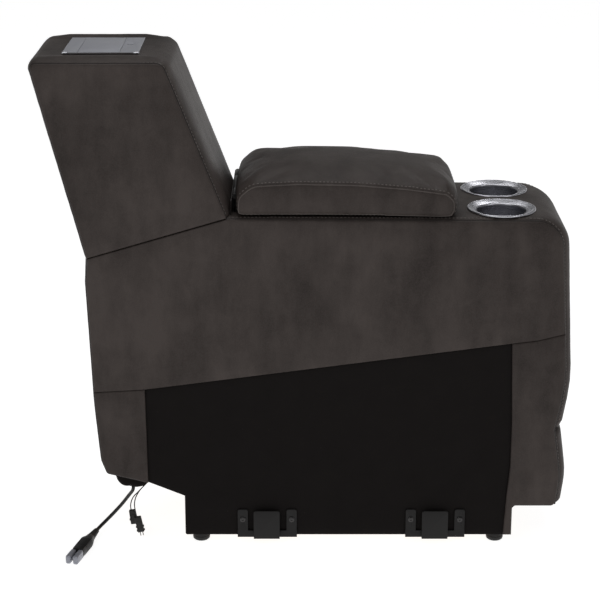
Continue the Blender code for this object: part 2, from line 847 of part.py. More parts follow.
foot_z = arm_height + gap
foot_end = bin_rear - bin_lip - 0.0015
plate_rear = lid_axis_x - 0.003
middle_half = hinge_half / 2 - gap
hinge_base = box("lid_hinge_base", (plate_rear, -hinge_half, foot_z),
                 (foot_end, hinge_half, foot_z + leaf), "bright_steel")
join(hinge_base, box("hinge_plate", (plate_rear, -hinge_half, foot_z),
                     (plate_rear + leaf, hinge_half, lid_axis_z - knuckle - 0.0007)))
join(hinge_base, box("hinge_tongue", (plate_rear, -middle_half, foot_z),
                     (plate_rear + leaf, middle_half, lid_axis_z)))
join(hinge_base, cylinder("hinge_knuckle", knuckle, (lid_axis_x, -middle_half, lid_axis_z),
                          (lid_axis_x, middle_half, lid_axis_z), sides=20))
join(hinge_base, cylinder("hinge_pin", pin_radius, (lid_axis_x, -hinge_half, lid_axis_z),
                          (lid_axis_x, hinge_half, lid_axis_z), sides=16))

leaf_rear = lid_axis_x + 0.0012
leaf_low = lid_bottom - gap - leaf
hinge_leaf = box("lid_hinge_leaf", (leaf_rear, -hinge_half, leaf_low),
                 (foot_end, hinge_half, leaf_low + leaf), "bright_steel")
join(hinge_leaf, box("leaf_plate", (leaf_rear, -hinge_half, leaf_low),
                     (leaf_rear + leaf, hinge_half, lid_axis_z - knuckle - 0.0007)))
for side_name, side in sides:
    low, high = span(side, hinge_half / 2, hinge_half)
    join(hinge_leaf, box("leaf_tongue_" + side_name, (leaf_rear, low, leaf_low),
                         (leaf_rear + leaf, high, lid_axis_z)))
    join(hinge_leaf, cylinder("leaf_knuckle_" + side_name, knuckle, (lid_axis_x, low, lid_axis_z),
                              (lid_axis_x, high, lid_axis_z), sides=20))
cut(hinge_leaf, cylinder("leaf_bore", pin_radius + gap,
                         (lid_axis_x, -hinge_half - 0.01, lid_axis_z),
                         (lid_axis_x, hinge_half + 0.01, lid_axis_z), sides=16))
hang(hinge_leaf, lid_pivot)

# ---- interlock brackets --------------------------------------------------------------------
for side_name, side in sides:
    for place_name, middle in bracket_middles.items():
        name = "bracket_" + side_name + "_" + place_name
        low, high = span(side, bracket_inner, bracket_outer)
        bracket = box(name, (middle - bracket_half, low, bracket_bottom),
                      (middle + bracket_half, high, bracket_bottom + bracket_strip),
                      "black_steel")
        for end_name, end in (("a", -1), ("b", 1)):
            x = middle + end * ear_x
            join(bracket, box(name + "_ear_" + end_name,
                              (x - ear_wide / 2, low, bracket_bottom),
                              (x + ear_wide / 2, high, bracket_top)))
        shelf_low, shelf_high = span(side, bracket_inner,
                                     bracket_inner + bracket_stand_off + bracket_thick)
        tab_x = middle - 0.001
        join(bracket, box(name + "_shelf",
                          (tab_x - tab_wide / 2, shelf_low, bracket_bottom),
                          (tab_x + tab_wide / 2, shelf_high, bracket_bottom + bracket_thick)))
        tab_low, tab_high = span(side, bracket_inner + bracket_stand_off,
                                 bracket_inner + bracket_stand_off + bracket_thick)
        join(bracket, box(name + "_tab",
                          (tab_x - tab_wide / 2, tab_low, bracket_bottom),
                          (tab_x + tab_wide / 2, tab_high, bracket_top)))
        screw_holes(bracket, side, (middle,))

# ---- cord pouch, power lead and low-voltage leads ------------------------------------------
pouch_gap = 0.0006
plate("cord_pouch", [
    (rear + 0.1275, tail_z - 0.0025),
    (knee_x, knee_z - pouch_gap),
    (rear + 0.2100, knee_z - 0.0040),
    (rear + 0.1890, 0.104, 0.014),
    (rear + 0.1330, 0.104, 0.014),
], pouch_near, pouch_far, "black_cloth")

tube("power_cord", lead_route, lead_diameter, 0.018, "rubber")
tube("left_wire", left_wire_route, wire_diameter, 0.006, "rubber")
tube("right_wire", right_wire_route, wire_diameter, 0.006, "rubber")


# The plug lies on the floor: its strain relief, moulded body, two blades and earth pin
plug_start = Vector(lead_route[-1])
plug_turn = Euler((0, 0, math.atan2(plug_axis.y, plug_axis.x)))


def plug_block(name, start, stop, wide, high, offset=0.0, up=0.0, finish=None):
    """A block between two distances along the plug's axis."""
    obj = box(name, (-(stop - start) / 2, -wide / 2, -high / 2),
              ((stop - start) / 2, wide / 2, high / 2), finish)
    middle = Vector(((start + stop) / 2, offset, up))
    middle.rotate(plug_turn)
    obj.location = plug_start + middle
    obj.rotation_euler = plug_turn
    return obj


plug_face = plug_relief + plug_body
plug = plug_block("power_plug", plug_relief - 0.002, plug_face, plug_wide, plug_high,
                  finish="rubber")
round_off = plug.modifiers.new("round_off", "BEVEL")
round_off.width = 0.005
round_off.segments = 2
join(plug, cylinder("plug_relief", lead_diameter / 2 + 0.0012, plug_start + plug_axis * gap,
                    plug_start + plug_axis * (plug_relief + 0.004), sides=20, end_radius=0.0082))
for blade_name, offset in (("left", -0.00635), ("right", 0.00635)):
    join(plug, plug_block("plug_blade_" + blade_name, plug_face - 0.002, plug_face + 0.0175,
                          0.0016, 0.0063, offset, 0.002))
join(plug, cylinder("plug_pin", 0.0024,
                    plug_start + plug_axis * (plug_face - 0.002) - Vector((0, 0, 0.0058)),
                    plug_start + plug_axis * (plug_face + 0.021) - Vector((0, 0, 0.0058)),
                    sides=12))


def connector(name, top, tilt, size, shift):
    """A small two-way connector hanging from its wire, its length down its own Z."""
    obj = box(name, [-s / 2 for s in size], [s / 2 for s in size], "black_plastic")
    middle = Vector((shift, 0, -size[2] / 2))
    middle.rotate(Euler((0, -tilt, 0)))
    obj.location = Vector(top) + middle
    obj.rotation_euler = (0, -tilt, 0)
    return obj


left_top = Vector(left_wire_route[-1]) - Vector((0, 0, 0.0008))
connector("left_connector", left_top, math.radians(7), (0.0130, 0.0080, 0.0300), 0.0022)
right_top = Vector(right_wire_route[-1]) - Vector((0, 0, 0.0012))
right = connector("right_connector", right_top, math.radians(11.5), (0.0130, 0.0080, 0.0330), 0.0018)
pin_tilt = Euler((0, -math.radians(11.5), 0))
for pin_name, offset in (("left", -0.0008), ("right", 0.0044)):
    high = Vector((offset, 0, -0.031))
    low = Vector((offset, 0, -0.0415))
    high.rotate(pin_tilt)
    low.rotate(pin_tilt)
    join(right, cylinder("connector_pin_" + pin_name, 0.0009, right_top + high,
                         right_top + low, sides=8))
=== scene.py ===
import json
import math

import bpy
import numpy as np
from mathutils import Euler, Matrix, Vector, noise
from mathutils.bvhtree import BVHTree
from mathutils.geometry import delaunay_2d_cdt


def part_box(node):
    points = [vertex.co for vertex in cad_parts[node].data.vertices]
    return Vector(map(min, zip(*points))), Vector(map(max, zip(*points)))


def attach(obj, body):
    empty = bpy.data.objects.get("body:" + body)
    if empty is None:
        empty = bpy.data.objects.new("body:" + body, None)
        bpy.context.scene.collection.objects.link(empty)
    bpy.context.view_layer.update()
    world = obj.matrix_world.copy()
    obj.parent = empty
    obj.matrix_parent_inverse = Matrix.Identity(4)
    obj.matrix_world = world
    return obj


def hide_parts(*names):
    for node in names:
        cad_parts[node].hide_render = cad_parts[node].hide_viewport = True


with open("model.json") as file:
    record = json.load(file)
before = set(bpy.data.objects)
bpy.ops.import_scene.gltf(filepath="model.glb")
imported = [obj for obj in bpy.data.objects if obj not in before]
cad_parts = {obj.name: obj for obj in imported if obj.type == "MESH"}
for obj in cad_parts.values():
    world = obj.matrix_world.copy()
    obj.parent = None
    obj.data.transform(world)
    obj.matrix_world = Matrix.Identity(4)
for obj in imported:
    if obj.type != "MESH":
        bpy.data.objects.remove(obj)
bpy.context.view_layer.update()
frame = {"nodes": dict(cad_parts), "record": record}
nodes = frame["nodes"]
sides = (("Near", "near", -1), ("Far", "far", 1))


# working helpers
def deselect():
    bpy.ops.object.select_all(action="DESELECT")


def takeUp(obj):
    deselect()
    bpy.context.view_layer.objects.active = obj
    obj.select_set(True)
    return obj


def applied(obj, kind, **settings):
    takeUp(obj)
    modifier = obj.modifiers.new(kind.lower(), kind)
    for key, value in settings.items():
        setattr(modifier, key, value)
    bpy.ops.object.modifier_apply(modifier=modifier.name)
    return obj


def linked(name, data):
    obj = bpy.data.objects.new(name, data)
    bpy.context.scene.collection.objects.link(obj)
    return obj


def fromPoints(name, points, faces):
    mesh = bpy.data.meshes.new(name)
    mesh.from_pydata([tuple(p) for p in points], [], [tuple(f) for f in faces])
    return cleaned(linked(name, mesh))


def polyCurve(name, paths, radius, rounding, closed=False):
    curve = bpy.data.curves.new(name, "CURVE")
    curve.dimensions = "3D"
    curve.bevel_depth = radius
    curve.bevel_resolution = rounding
    curve.use_fill_caps = True
    for path in paths:
        spline = curve.splines.new("POLY")
        spline.points.add(len(path) - 1)
        for point, place in zip(spline.points, path):
            point.co = (*place, 1)
        spline.use_cyclic_u = closed
    return linked(name, curve)


def cleaned(obj, merge=0.0):
    takeUp(obj)
    bpy.ops.object.mode_set(mode="EDIT")
    bpy.ops.mesh.select_all(action="SELECT")
    if merge:
        bpy.ops.mesh.remove_doubles(threshold=merge)
    bpy.ops.mesh.normals_make_consistent(inside=False)
    bpy.ops.object.mode_set(mode="OBJECT")
    return obj


def settled(obj):
    # puts the place of a piece into its mesh
    takeUp(obj)
    bpy.ops.object.transform_apply(location=True, rotation=True, scale=True)
    return obj


def moveTo(obj, place, turn=(0, 0, 0)):
    obj.location = place
    obj.rotation_euler = turn
    return settled(obj)


def dress(obj, body, finish, stands=(), angle=None):
    obj.data.materials.clear()
    obj.data.materials.append(finish)
    if obj.type == "MESH":
        takeUp(obj)
        if angle:
            bpy.ops.object.shade_smooth_by_angle(angle=math.radians(angle))
        else:
            bpy.ops.object.shade_smooth()
    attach(obj, body)
    if stands:
        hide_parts(*stands)
    return obj


# camera
cameraSetup = {"place": (-0.0115, -3.4064, 1.5702), "tilt": 18.03, "lens": 108.82}
bpy.ops.object.camera_add(
    location=cameraSetup["place"],
    rotation=(math.radians(90 - cameraSetup["tilt"]), 0, 0),
)
camera = bpy.context.object
camera.data.lens = cameraSetup["lens"]
camera.data.sensor_width = 36
bpy.context.scene.camera = camera
bpy.context.scene.view_settings.view_transform = "Standard"
print("camera placed")


# shader tools
class Wire:
    def __init__(self, finish, socket):
        self.finish = finish
        self.socket = socket

    def maths(self, operation, first, second=0.0):
        return self.finish.add(
            "ShaderNodeMath", {"operation": operation}, {0: first, 1: second}
        )

    def __add__(self, other):
        return self.maths("ADD", self, other)

    def __radd__(self, other):
        return self.maths("ADD", other, self)

    def __sub__(self, other):
        return self.maths("SUBTRACT", self, other)

    def __rsub__(self, other):
        return self.maths("SUBTRACT", other, self)

    def __mul__(self, other):
        return self.maths("MULTIPLY", self, other)

    def __rmul__(self, other):
        return self.maths("MULTIPLY", other, self)


class Finish:
    def __init__(self, name, **fixed):
        self.material = bpy.data.materials.new(name)
        self.material.use_nodes = True
        self.tree = self.material.node_tree
        self.shader = self.tree.nodes["Principled BSDF"]
        for key, value in fixed.items():
            self.shader.inputs[key.replace("_", " ")].default_value = value
        self.place = self.add("ShaderNodeTexCoord", out="Object")

    def add(self, kind, settings=None, inputs=None, out=0):
        node = self.tree.nodes.new(kind)
        for key, value in (settings or {}).items():
            if key == "stops":
                ramp = node.color_ramp.elements
                while len(ramp) < len(value):
                    ramp.new(0.5)
                for element, (place, grey) in zip(ramp, value):
                    element.position = place
                    element.color = (grey, grey, grey, 1)
            else:
                setattr(node, key, value)
        for key, value in (inputs or {}).items():
            if isinstance(value, Wire):
                self.tree.links.new(value.socket, node.inputs[key])
            else:
                node.inputs[key].default_value = value
        return Wire(self, node.outputs[out])

    def moved(self, place=(0, 0, 0), turn=(0, 0, 0), scale=(1, 1, 1)):
        return self.add(
            "ShaderNodeMapping", {},
            {"Vector": self.place, "Location": place, "Rotation": turn, "Scale": scale},
        )

    def clouds(self, scale, detail=3.0, roughness=0.55, vector=None, distortion=0.0):
        return self.add(
            "ShaderNodeTexNoise", {},
            {"Vector": vector or self.place, "Scale": scale, "Detail": detail,
             "Roughness": roughness, "Distortion": distortion},
        )

    def cells(self, scale, feature="F1", vector=None):
        return self.add(
            "ShaderNodeTexVoronoi", {"feature": feature},
            {"Vector": vector or self.place, "Scale": scale},
        )

    def rising(self, wire, low, high, start=0.0):
        stops = [(low, start), (high, 1.0 - start)]
        return self.add("ShaderNodeValToRGB", {"stops": stops}, {"Fac": wire})

    def blended(self, factor, first, second):
        return self.add(
            "ShaderNodeMix", {"data_type": "RGBA"}, {0: factor, 6: first, 7: second}, out=2
        )

    def bumped(self, height, strength, distance, under=None):
        links = {"Height": height, "Strength": strength, "Distance": distance}
        if under:
            links["Normal"] = under
        return self.add("ShaderNodeBump", {}, links)

    def feed(self, **wires):
        for key, wire in wires.items():
            self.tree.links.new(wire.socket, self.shader.inputs[key.replace("_", " ")])
        return self.material


def leatherFinish(name, settings):
    finish = Finish(name, Specular_IOR_Level=settings["shine"], Coat_Roughness=0.3)
    large = finish.clouds(5.5, 3.0, 0.5, distortion=0.6)
    middle = finish.clouds(30.0, 4.0, 0.6, distortion=0.8)
    fine = finish.clouds(420.0, 2.0)
    streaks = finish.clouds(8.0, 4.0, 0.62, finish.moved(turn=(0, 0.3, 0), scale=(2.6, 2.0, 0.8)))
    worn = finish.rising(large * 0.4 + streaks * 0.42 + middle * 0.18, 0.38, 0.62)
    speck = finish.rising(fine, 0.35, 0.7)
    colour = finish.blended(worn, settings["deep"], settings["worn"])
    colour = finish.blended(speck * 0.22, colour, settings["light"])
    grain = finish.cells(780.0)
    pores = finish.cells(250.0, "DISTANCE_TO_EDGE", finish.moved(scale=(1, 1, 1.25)))
    creased = finish.rising(pores, 0.0, 0.12)
    normal = finish.bumped(grain + creased * 0.6, 0.22, 0.0004)
    normal = finish.bumped(middle, 0.3, 0.0016, normal)
    rough = settings["rough"] + (speck - 0.5) * 0.10 - worn * 0.06
    return finish.feed(Base_Color=colour, Roughness=rough, Normal=normal)


def clothFinish(name, settings):
    finish = Finish(name, Specular_IOR_Level=0.08, Sheen_Weight=0.02, Sheen_Roughness=0.5)
    fuzz = finish.clouds(600.0, 3.0)
    patches = finish.clouds(22.0, 4.0, 0.6)
    lint = finish.rising(finish.cells(95.0), 0.0, 0.045, 1.0)
    rare = finish.rising(finish.clouds(31.0, 1.0), 0.58, 0.62)
    threads = finish.add(
        "ShaderNodeTexWave", {"bands_direction": "DIAGONAL"},
        {"Vector": finish.place, "Scale": 260.0, "Distortion": 3.0, "Detail": 1.0},
    )
    colour = finish.blended(patches, settings["deep"], settings["worn"])
    colour = finish.blended(fuzz * 0.5, colour, settings["light"])
    colour = finish.blended(lint * rare * 0.9, colour, settings["lint"])
    normal = finish.bumped(fuzz * 0.7 + threads * 0.3, 0.5, 0.0005)
    return finish.feed(Base_Color=colour, Roughness=0.86 + fuzz * 0.1, Normal=normal)


def ringedSteel(name, centre):
    # brushed on a lathe: the lines run round the centre
    finish = Finish(name, Metallic=1.0)
    moved = finish.moved(place=(-centre[0], -centre[1], 0))
    flat = finish.add("ShaderNodeVectorMath", {"operation": "MULTIPLY"}, {0: moved, 1: (1, 1, 0)})
    radius = finish.add("ShaderNodeVectorMath", {"operation": "LENGTH"}, {0: flat}, out="Value")
    parts = finish.add("ShaderNodeSeparateXYZ", {}, {0: moved}, out=2)
    across = finish.add("ShaderNodeCombineXYZ", {}, {0: radius, 1: parts})
    lines = finish.clouds(1900.0, 2.0, vector=across)
    smears = finish.clouds(40.0, 3.0)
    colour = finish.blended(lines, (0.34, 0.34, 0.365, 1), (0.58, 0.58, 0.62, 1))
    rough = 0.19 + lines * 0.12 + smears * 0.05
    return finish.feed(
        Base_Color=colour, Roughness=rough, Normal=finish.bumped(lines, 0.18, 0.0003)
    )


def metalFinish(name, dark, light, rough, metallic=1.0, stretch=(1, 1, 1), scale=700.0):
    finish = Finish(name, Metallic=metallic)
    grit = finish.clouds(scale, 3.0, vector=finish.moved(scale=stretch))
    marks = finish.clouds(35.0, 4.0, 0.6)
    colour = finish.blended(grit * 0.6 + marks * 0.4, dark, light)
    return finish.feed(
        Base_Color=colour, Roughness=rough - 0.08 + grit * 0.12 + marks * 0.06,
        Normal=finish.bumped(grit, 0.15, 0.0003),
    )


def plasticFinish(name, dark, light, rough):
    finish = Finish(name, Specular_IOR_Level=0.28)
    texture = finish.clouds(900.0, 2.0)
    marks = finish.clouds(30.0, 4.0)
    colour = finish.blended(marks * 0.6 + texture * 0.4, dark, light)
    return finish.feed(
        Base_Color=colour, Roughness=rough - 0.06 + texture * 0.14,
        Normal=finish.bumped(texture, 0.3, 0.0003),
    )


def woodFinish(name):
    finish = Finish(name, Specular_IOR_Level=0.3)
    grainy = finish.moved(scale=(3.0, 30.0, 24.0))
    rings = finish.clouds(6.0, 4.0, 0.6, grainy, 1.2)
    fibres = finish.clouds(60.0, 3.0, 0.6, finish.moved(scale=(1, 14, 10)))
    colour = finish.blended(rings, (0.34, 0.21, 0.10, 1), (0.56, 0.40, 0.23, 1))
    colour = finish.blended(fibres * 0.35, colour, (0.25, 0.15, 0.07, 1))
    return finish.feed(
        Base_Color=colour, Roughness=0.62 + fibres * 0.2,
        Normal=finish.bumped(fibres, 0.3, 0.0006),
    )


leatherSettings = {
    "deep": (0.0235, 0.0186, 0.0168, 1), "worn": (0.0530, 0.0432, 0.0396, 1),
    "light": (0.074, 0.062, 0.057, 1), "rough": 0.54, "shine": 0.11,
}
clothSettings = {
    "deep": (0.0034, 0.0028, 0.0027, 1), "worn": (0.0068, 0.0057, 0.0054, 1),
    "light": (0.015, 0.0125, 0.0120, 1), "lint": (0.14, 0.12, 0.11, 1),
}
leather = leatherFinish("consoleLeather", leatherSettings)
# a darker copy of the leather: painted shade for the seam grooves and for the hinge flap in the
# shaded gap behind the lid
shadedSeamLeather = leatherFinish("shadedSeamLeather", dict(
    leatherSettings, deep=(0.012, 0.010, 0.0095, 1), worn=(0.024, 0.020, 0.019, 1), rough=0.40))
# a lighter copy of the leather: painted highlight along the lid's seam ridge
highlightedSeamRidge = leatherFinish("highlightedSeamRidge", dict(
    leatherSettings, deep=(0.050, 0.042, 0.039, 1), worn=(0.090, 0.078, 0.072, 1), rough=0.40))
liningCloth = clothFinish("liningCloth", clothSettings)
binCloth = clothFinish("binCloth", {
    "deep": (0.012, 0.011, 0.0105, 1), "worn": (0.018, 0.017, 0.016, 1),
    "light": (0.034, 0.032, 0.03, 1), "lint": (0.05, 0.05, 0.05, 1),
})
plywood = woodFinish("framePlywood")
bracketSteel = metalFinish("bracketSteel", (0.006, 0.0056, 0.0055, 1),
                           (0.013, 0.012, 0.0118, 1), 0.44, 0.6)
brightSteel = metalFinish("brightSteel", (0.50, 0.49, 0.48, 1), (0.68, 0.67, 0.66, 1), 0.3)
hubAluminium = metalFinish("hubAluminium", (0.26, 0.265, 0.29, 1), (0.32, 0.325, 0.355, 1),
                           0.56, 0.6, (1, 0.06, 1), 1400.0)
hubEdge = metalFinish("hubEdge", (0.60, 0.61, 0.66, 1), (0.75, 0.76, 0.80, 1), 0.16)
blackPlastic = plasticFinish("blackPlastic", (0.009, 0.009, 0.009, 1), (0.02, 0.019, 0.018, 1),
                             0.48)
cordRubber = plasticFinish("cordRubber", (0.006, 0.006, 0.006, 1), (0.014, 0.013, 0.012, 1), 0.42)
screwSteel = metalFinish("screwSteel", (0.030, 0.029, 0.029, 1), (0.075, 0.072, 0.072, 1), 0.3)
thread = plasticFinish("seamThread", (0.085, 0.074, 0.068, 1), (0.150, 0.132, 0.124, 1), 0.55)
pinBrass = metalFinish("pinMetal", (0.055, 0.045, 0.035, 1), (0.12, 0.10, 0.085, 1), 0.35)
slotFinish = {
    "leather": leather, "padded_leather": leather, "black_cloth": liningCloth,
    "plywood": plywood, "black_steel": bracketSteel, "bright_steel": brightSteel,
    "aluminium": hubAluminium, "black_plastic": blackPlastic, "bin_lining": binCloth,
    "rubber": cordRubber,
}
for part in frame["record"]["subparts"]:
    carried = nodes[part["node"]].data.materials
    carried.clear()
    carried.append(slotFinish[part["material_slot"]])
print("finishes made")


# cords: the same routes as the frame's solids
def throughPoints(route, count=6):
    places = [Vector(p) for p in route]
    places = [2 * places[0] - places[1]] + places + [2 * places[-1] - places[-2]]
    line = []
    for before, here, after, beyond in zip(places, places[1:], places[2:], places[3:]):
        for step in range(count):
            t = step / count
            line.append(0.5 * (
                2 * here
                + (after - before) * t
                + (2 * before - 5 * here + 4 * after - beyond) * t ** 2
                + (3 * here - before - 3 * after + beyond) * t ** 3
            ))
    return line + [places[-2]]


def cordPiece(name, route, diameter, node):
    line = throughPoints(route, 2)
    obj = polyCurve(name, [line], diameter / 2, 5)
    dress(obj, "root", cordRubber, [node])
    return obj, sum((b - a).length for a, b in zip(line, line[1:]))


lead = {
    "diameter": 0.0071,
    "route": [
        (-0.3424, -0.0962, 0.1037), (-0.3426, -0.0960, 0.1000), (-0.3438, -0.0944, 0.0952),
        (-0.3463, -0.0911, 0.0900), (-0.3502, -0.0866, 0.0837), (-0.3551, -0.0820, 0.0758),
        (-0.3605, -0.0781, 0.0673), (-0.3661, -0.0750, 0.0591), (-0.3719, -0.0730, 0.0513),
        (-0.3778, -0.0720, 0.0441), (-0.3839, -0.0721, 0.0373), (-0.3904, -0.0736, 0.0307),
        (-0.3970, -0.0765, 0.0247), (-0.4035, -0.0811, 0.0193), (-0.4094, -0.0873, 0.0153),
        (-0.4138, -0.0943, 0.0128), (-0.4163, -0.1003, 0.0120), (-0.4172, -0.1038, 0.0120),
    ],
    "plugAxis": (-0.246, -0.969, 0.0),
}
wires = {
    "diameter": 0.0022,
    "left": [
        (-0.3137, -0.1084, 0.1178), (-0.3140, -0.1108, 0.1178), (-0.3155, -0.1143, 0.1170),
        (-0.3182, -0.1168, 0.1150), (-0.3223, -0.1180, 0.1112), (-0.3270, -0.1180, 0.1062),
        (-0.3325, -0.1180, 0.1000), (-0.3385, -0.1180, 0.0938), (-0.3430, -0.1180, 0.0868),
        (-0.3458, -0.1180, 0.0790), (-0.3469, -0.1180, 0.0712), (-0.3465, -0.1180, 0.0660),
        (-0.3462, -0.1180, 0.0635),
    ],
    "right": [
        (-0.3100, -0.1084, 0.1236), (-0.3101, -0.1110, 0.1237), (-0.3108, -0.1160, 0.1240),
        (-0.3126, -0.1225, 0.1236), (-0.3160, -0.1275, 0.1212), (-0.3205, -0.1295, 0.1172),
        (-0.3252, -0.1300, 0.1120), (-0.3298, -0.1300, 0.1052), (-0.3340, -0.1300, 0.0975),
        (-0.3370, -0.1300, 0.0880), (-0.3380, -0.1300, 0.0775), (-0.3366, -0.1300, 0.0660),
        (-0.3350, -0.1300, 0.0572), (-0.3344, -0.1300, 0.0545),
    ],
}
powerLead, leadLength = cordPiece("powerLead", lead["route"], lead["diameter"], "power_cord")
leftWire, leftLength = cordPiece("leftWire", wires["left"], wires["diameter"], "left_wire")
rightWire, rightLength = cordPiece("rightWire", wires["right"], wires["diameter"], "right_wire")
print("cords laid", round(leadLength, 4), round(leftLength, 4), round(rightLength, 4))


# turned and lofted hard pieces
def ringPiece(name, count, rings, place=(0, 0, 0), turn=(0, 0, 0)):
    # rings of (height, half width, half depth), joined up and closed at both ends
    deselect()
    height, wide, deep = rings[0]
    bpy.ops.mesh.primitive_circle_add(
        vertices=count, radius=1, fill_type="NGON", location=(0, 0, height)
    )
    obj = bpy.context.object
    obj.name = name
    settled(obj)
    bpy.ops.object.mode_set(mode="EDIT")
    bpy.ops.mesh.select_all(action="SELECT")
    bpy.ops.transform.resize(value=(wide, deep, 1), center_override=(0, 0, height))
    for upper, nextWide, nextDeep in rings[1:]:
        bpy.ops.mesh.extrude_region_move(
            TRANSFORM_OT_translate={"value": (0, 0, upper - height)}
        )
        bpy.ops.transform.resize(
            value=(nextWide / wide, nextDeep / deep, 1), center_override=(0, 0, upper)
        )
        height, wide, deep = upper, nextWide, nextDeep
    bpy.ops.object.mode_set(mode="OBJECT")
    return cleaned(moveTo(obj, place, turn))


def softened(node, name, width, segments=2, angle=40, corners=None):
    # a copy of a frame solid with its edges rounded
    obj = linked(name, nodes[node].data.copy())
    takeUp(obj)
    bpy.ops.object.mode_set(mode="EDIT")
    bpy.ops.mesh.select_all(action="SELECT")
    bpy.ops.mesh.remove_doubles(threshold=0.00001)
    bpy.ops.mesh.dissolve_limited(angle_limit=math.radians(1))
    bpy.ops.object.mode_set(mode="OBJECT")
    if corners:
        roundCorners(obj, *corners)
    return applied(obj, "BEVEL", width=width, segments=segments, limit_method="ANGLE",
                   angle_limit=math.radians(angle))


def roundCorners(obj, lowest, width):
    # rounds the upper corners of a bent sheet, seen from its side
    takeUp(obj)
    bpy.ops.object.mode_set(mode="EDIT")
    bpy.ops.mesh.select_mode(type="EDGE")
    bpy.ops.mesh.select_all(action="DESELECT")
    bpy.ops.object.mode_set(mode="OBJECT")
    points = obj.data.vertices
    for edge in obj.data.edges:
        a, b = (points[i].co for i in edge.vertices)
        along = abs(a.x - b.x) < 1e-5 and abs(a.z - b.z) < 1e-5
        edge.select = along and min(a.z, b.z) > lowest
    bpy.ops.object.mode_set(mode="EDIT")
    bpy.ops.mesh.bevel(offset=width, segments=4)
    bpy.ops.mesh.select_mode(type="VERT")
    bpy.ops.object.mode_set(mode="OBJECT")
    return obj


def blockPiece(name, low, high, bevel=0.0, segments=3):
    deselect()
    size = [b - a for a, b in zip(low, high)]
    bpy.ops.mesh.primitive_cube_add(size=1, location=[(a + b) / 2 for a, b in zip(low, high)])
    obj = bpy.context.object
    obj.name = name
    obj.scale = size
    settled(obj)
    if bevel:
        applied(obj, "BEVEL", width=bevel, segments=segments, limit_method="NONE")
    return obj


def cutWith(obj, cutter):
    applied(obj, "BOOLEAN", operation="DIFFERENCE", solver="EXACT", object=cutter)
    bpy.data.objects.remove(cutter)
    return obj


def joined(first, *others):
    deselect()
    for obj in others:
        obj.select_set(True)
    first.select_set(True)
    bpy.context.view_layer.objects.active = first
    bpy.ops.object.join()
    return first


# plug, its clear blade cover, and the two small connectors
plugSettings = {"face": 0.107, "wide": 0.0130, "high": 0.0105, "cover": 0.034, "ribs": 7,
                "bladeGap": 0.00635, "most": 1.26}
plugAxis = Vector(lead["plugAxis"]).normalized()
plugStart = Vector(lead["route"][-1])
plugTurn = plugAxis.to_track_quat("Z", "Y").to_euler()

reliefRings = [(0.0004, 0.0042, 0.0042), (0.0008, 0.0048, 0.0048)]
for rib in range(8):
    start = 0.002 + rib * 0.0042
    grow = 0.0049 + rib * 0.00036
    reliefRings += [(start, grow, grow), (start + 0.0006, grow + 0.0007, grow + 0.0007),
                    (start + 0.0026, grow + 0.0008, grow + 0.0008),
                    (start + 0.0032, grow + 0.0001, grow + 0.0001)]
reliefRings += [(0.0362, 0.0076, 0.0076)]
plugRelief = ringPiece("plugRelief", 28, reliefRings, plugStart, plugTurn)
dress(plugRelief, "root", cordRubber, ["power_plug"], 40)

collarRings = [(0.0360, 0.0074, 0.0074), (0.0363, 0.0086, 0.0086), (0.0370, 0.0090, 0.0090),
               (0.0388, 0.0090, 0.0090), (0.0394, 0.0084, 0.0084)]
plugCollar = ringPiece("plugCollar", 32, collarRings, plugStart, plugTurn)
dress(plugCollar, "root", plasticFinish("collarPlastic", (0.05, 0.04, 0.035, 1),
                                        (0.09, 0.075, 0.068, 1), 0.4), [], 40)

bodyRings = [(0.0392, 0.0080, 0.0080), (0.0400, 0.0092, 0.0086), (0.0450, 0.0106, 0.0092),
             (0.0520, 0.0124, 0.0100), (0.0580, 0.0129, 0.0104)]
for rib in range(plugSettings["ribs"]):
    start = 0.060 + rib * 0.0046
    bodyRings += [(start, 0.0130, 0.0105), (start + 0.0006, 0.0124, 0.0099),
                  (start + 0.0018, 0.0124, 0.0099), (start + 0.0024, 0.0130, 0.0105)]
bodyRings += [(0.0950, 0.0128, 0.0104), (0.1030, 0.0126, 0.0102), (0.1062, 0.0124, 0.0100),
              (0.1070, 0.0116, 0.0092)]
plugBody = ringPiece("plugBody", 32, bodyRings)
# the moulded body is a rounded block rather than a round bar
for corner in plugBody.data.vertices:
    share = min(1.0, max(0.0, (corner.co.z - 0.040) / 0.012))
    reach = max(abs(corner.co.x) / plugSettings["wide"], abs(corner.co.y) / plugSettings["high"])
    radius = math.hypot(corner.co.x / plugSettings["wide"], corner.co.y / plugSettings["high"])
    fill = 1 + share * 0.4 * (min(1.0, radius) / max(reach, 0.01) - 1) * (reach > 0.05)
    for axis, most in enumerate((plugSettings["wide"], plugSettings["high"])):
        spread = corner.co[axis] * min(fill, plugSettings["most"])
        corner.co[axis] = max(-most, min(most, spread))
moveTo(plugBody, plugStart, plugTurn)
dress(plugBody, "root", cordRubber, ["power_plug"], 35)

blades, otherBlade = [
    blockPiece("plugBlades", (-0.0008 + middle, -0.0012, 0.106), (0.0008 + middle, 0.0052, 0.1245),
               0.0004, 1)
    for middle in (-plugSettings["bladeGap"], plugSettings["bladeGap"])
]
pinRings = [(0.106, 0.0023, 0.0023), (0.1255, 0.0023, 0.0023), (0.1275, 0.0016, 0.0016),
            (0.128, 0.0008, 0.0008)]
earthPin = ringPiece("earthPin", 20, pinRings, (0, -0.0058, 0))
joined(blades, otherBlade, earthPin)
moveTo(blades, plugStart, plugTurn)
dress(blades, "root", brightSteel, ["power_plug"], 30)

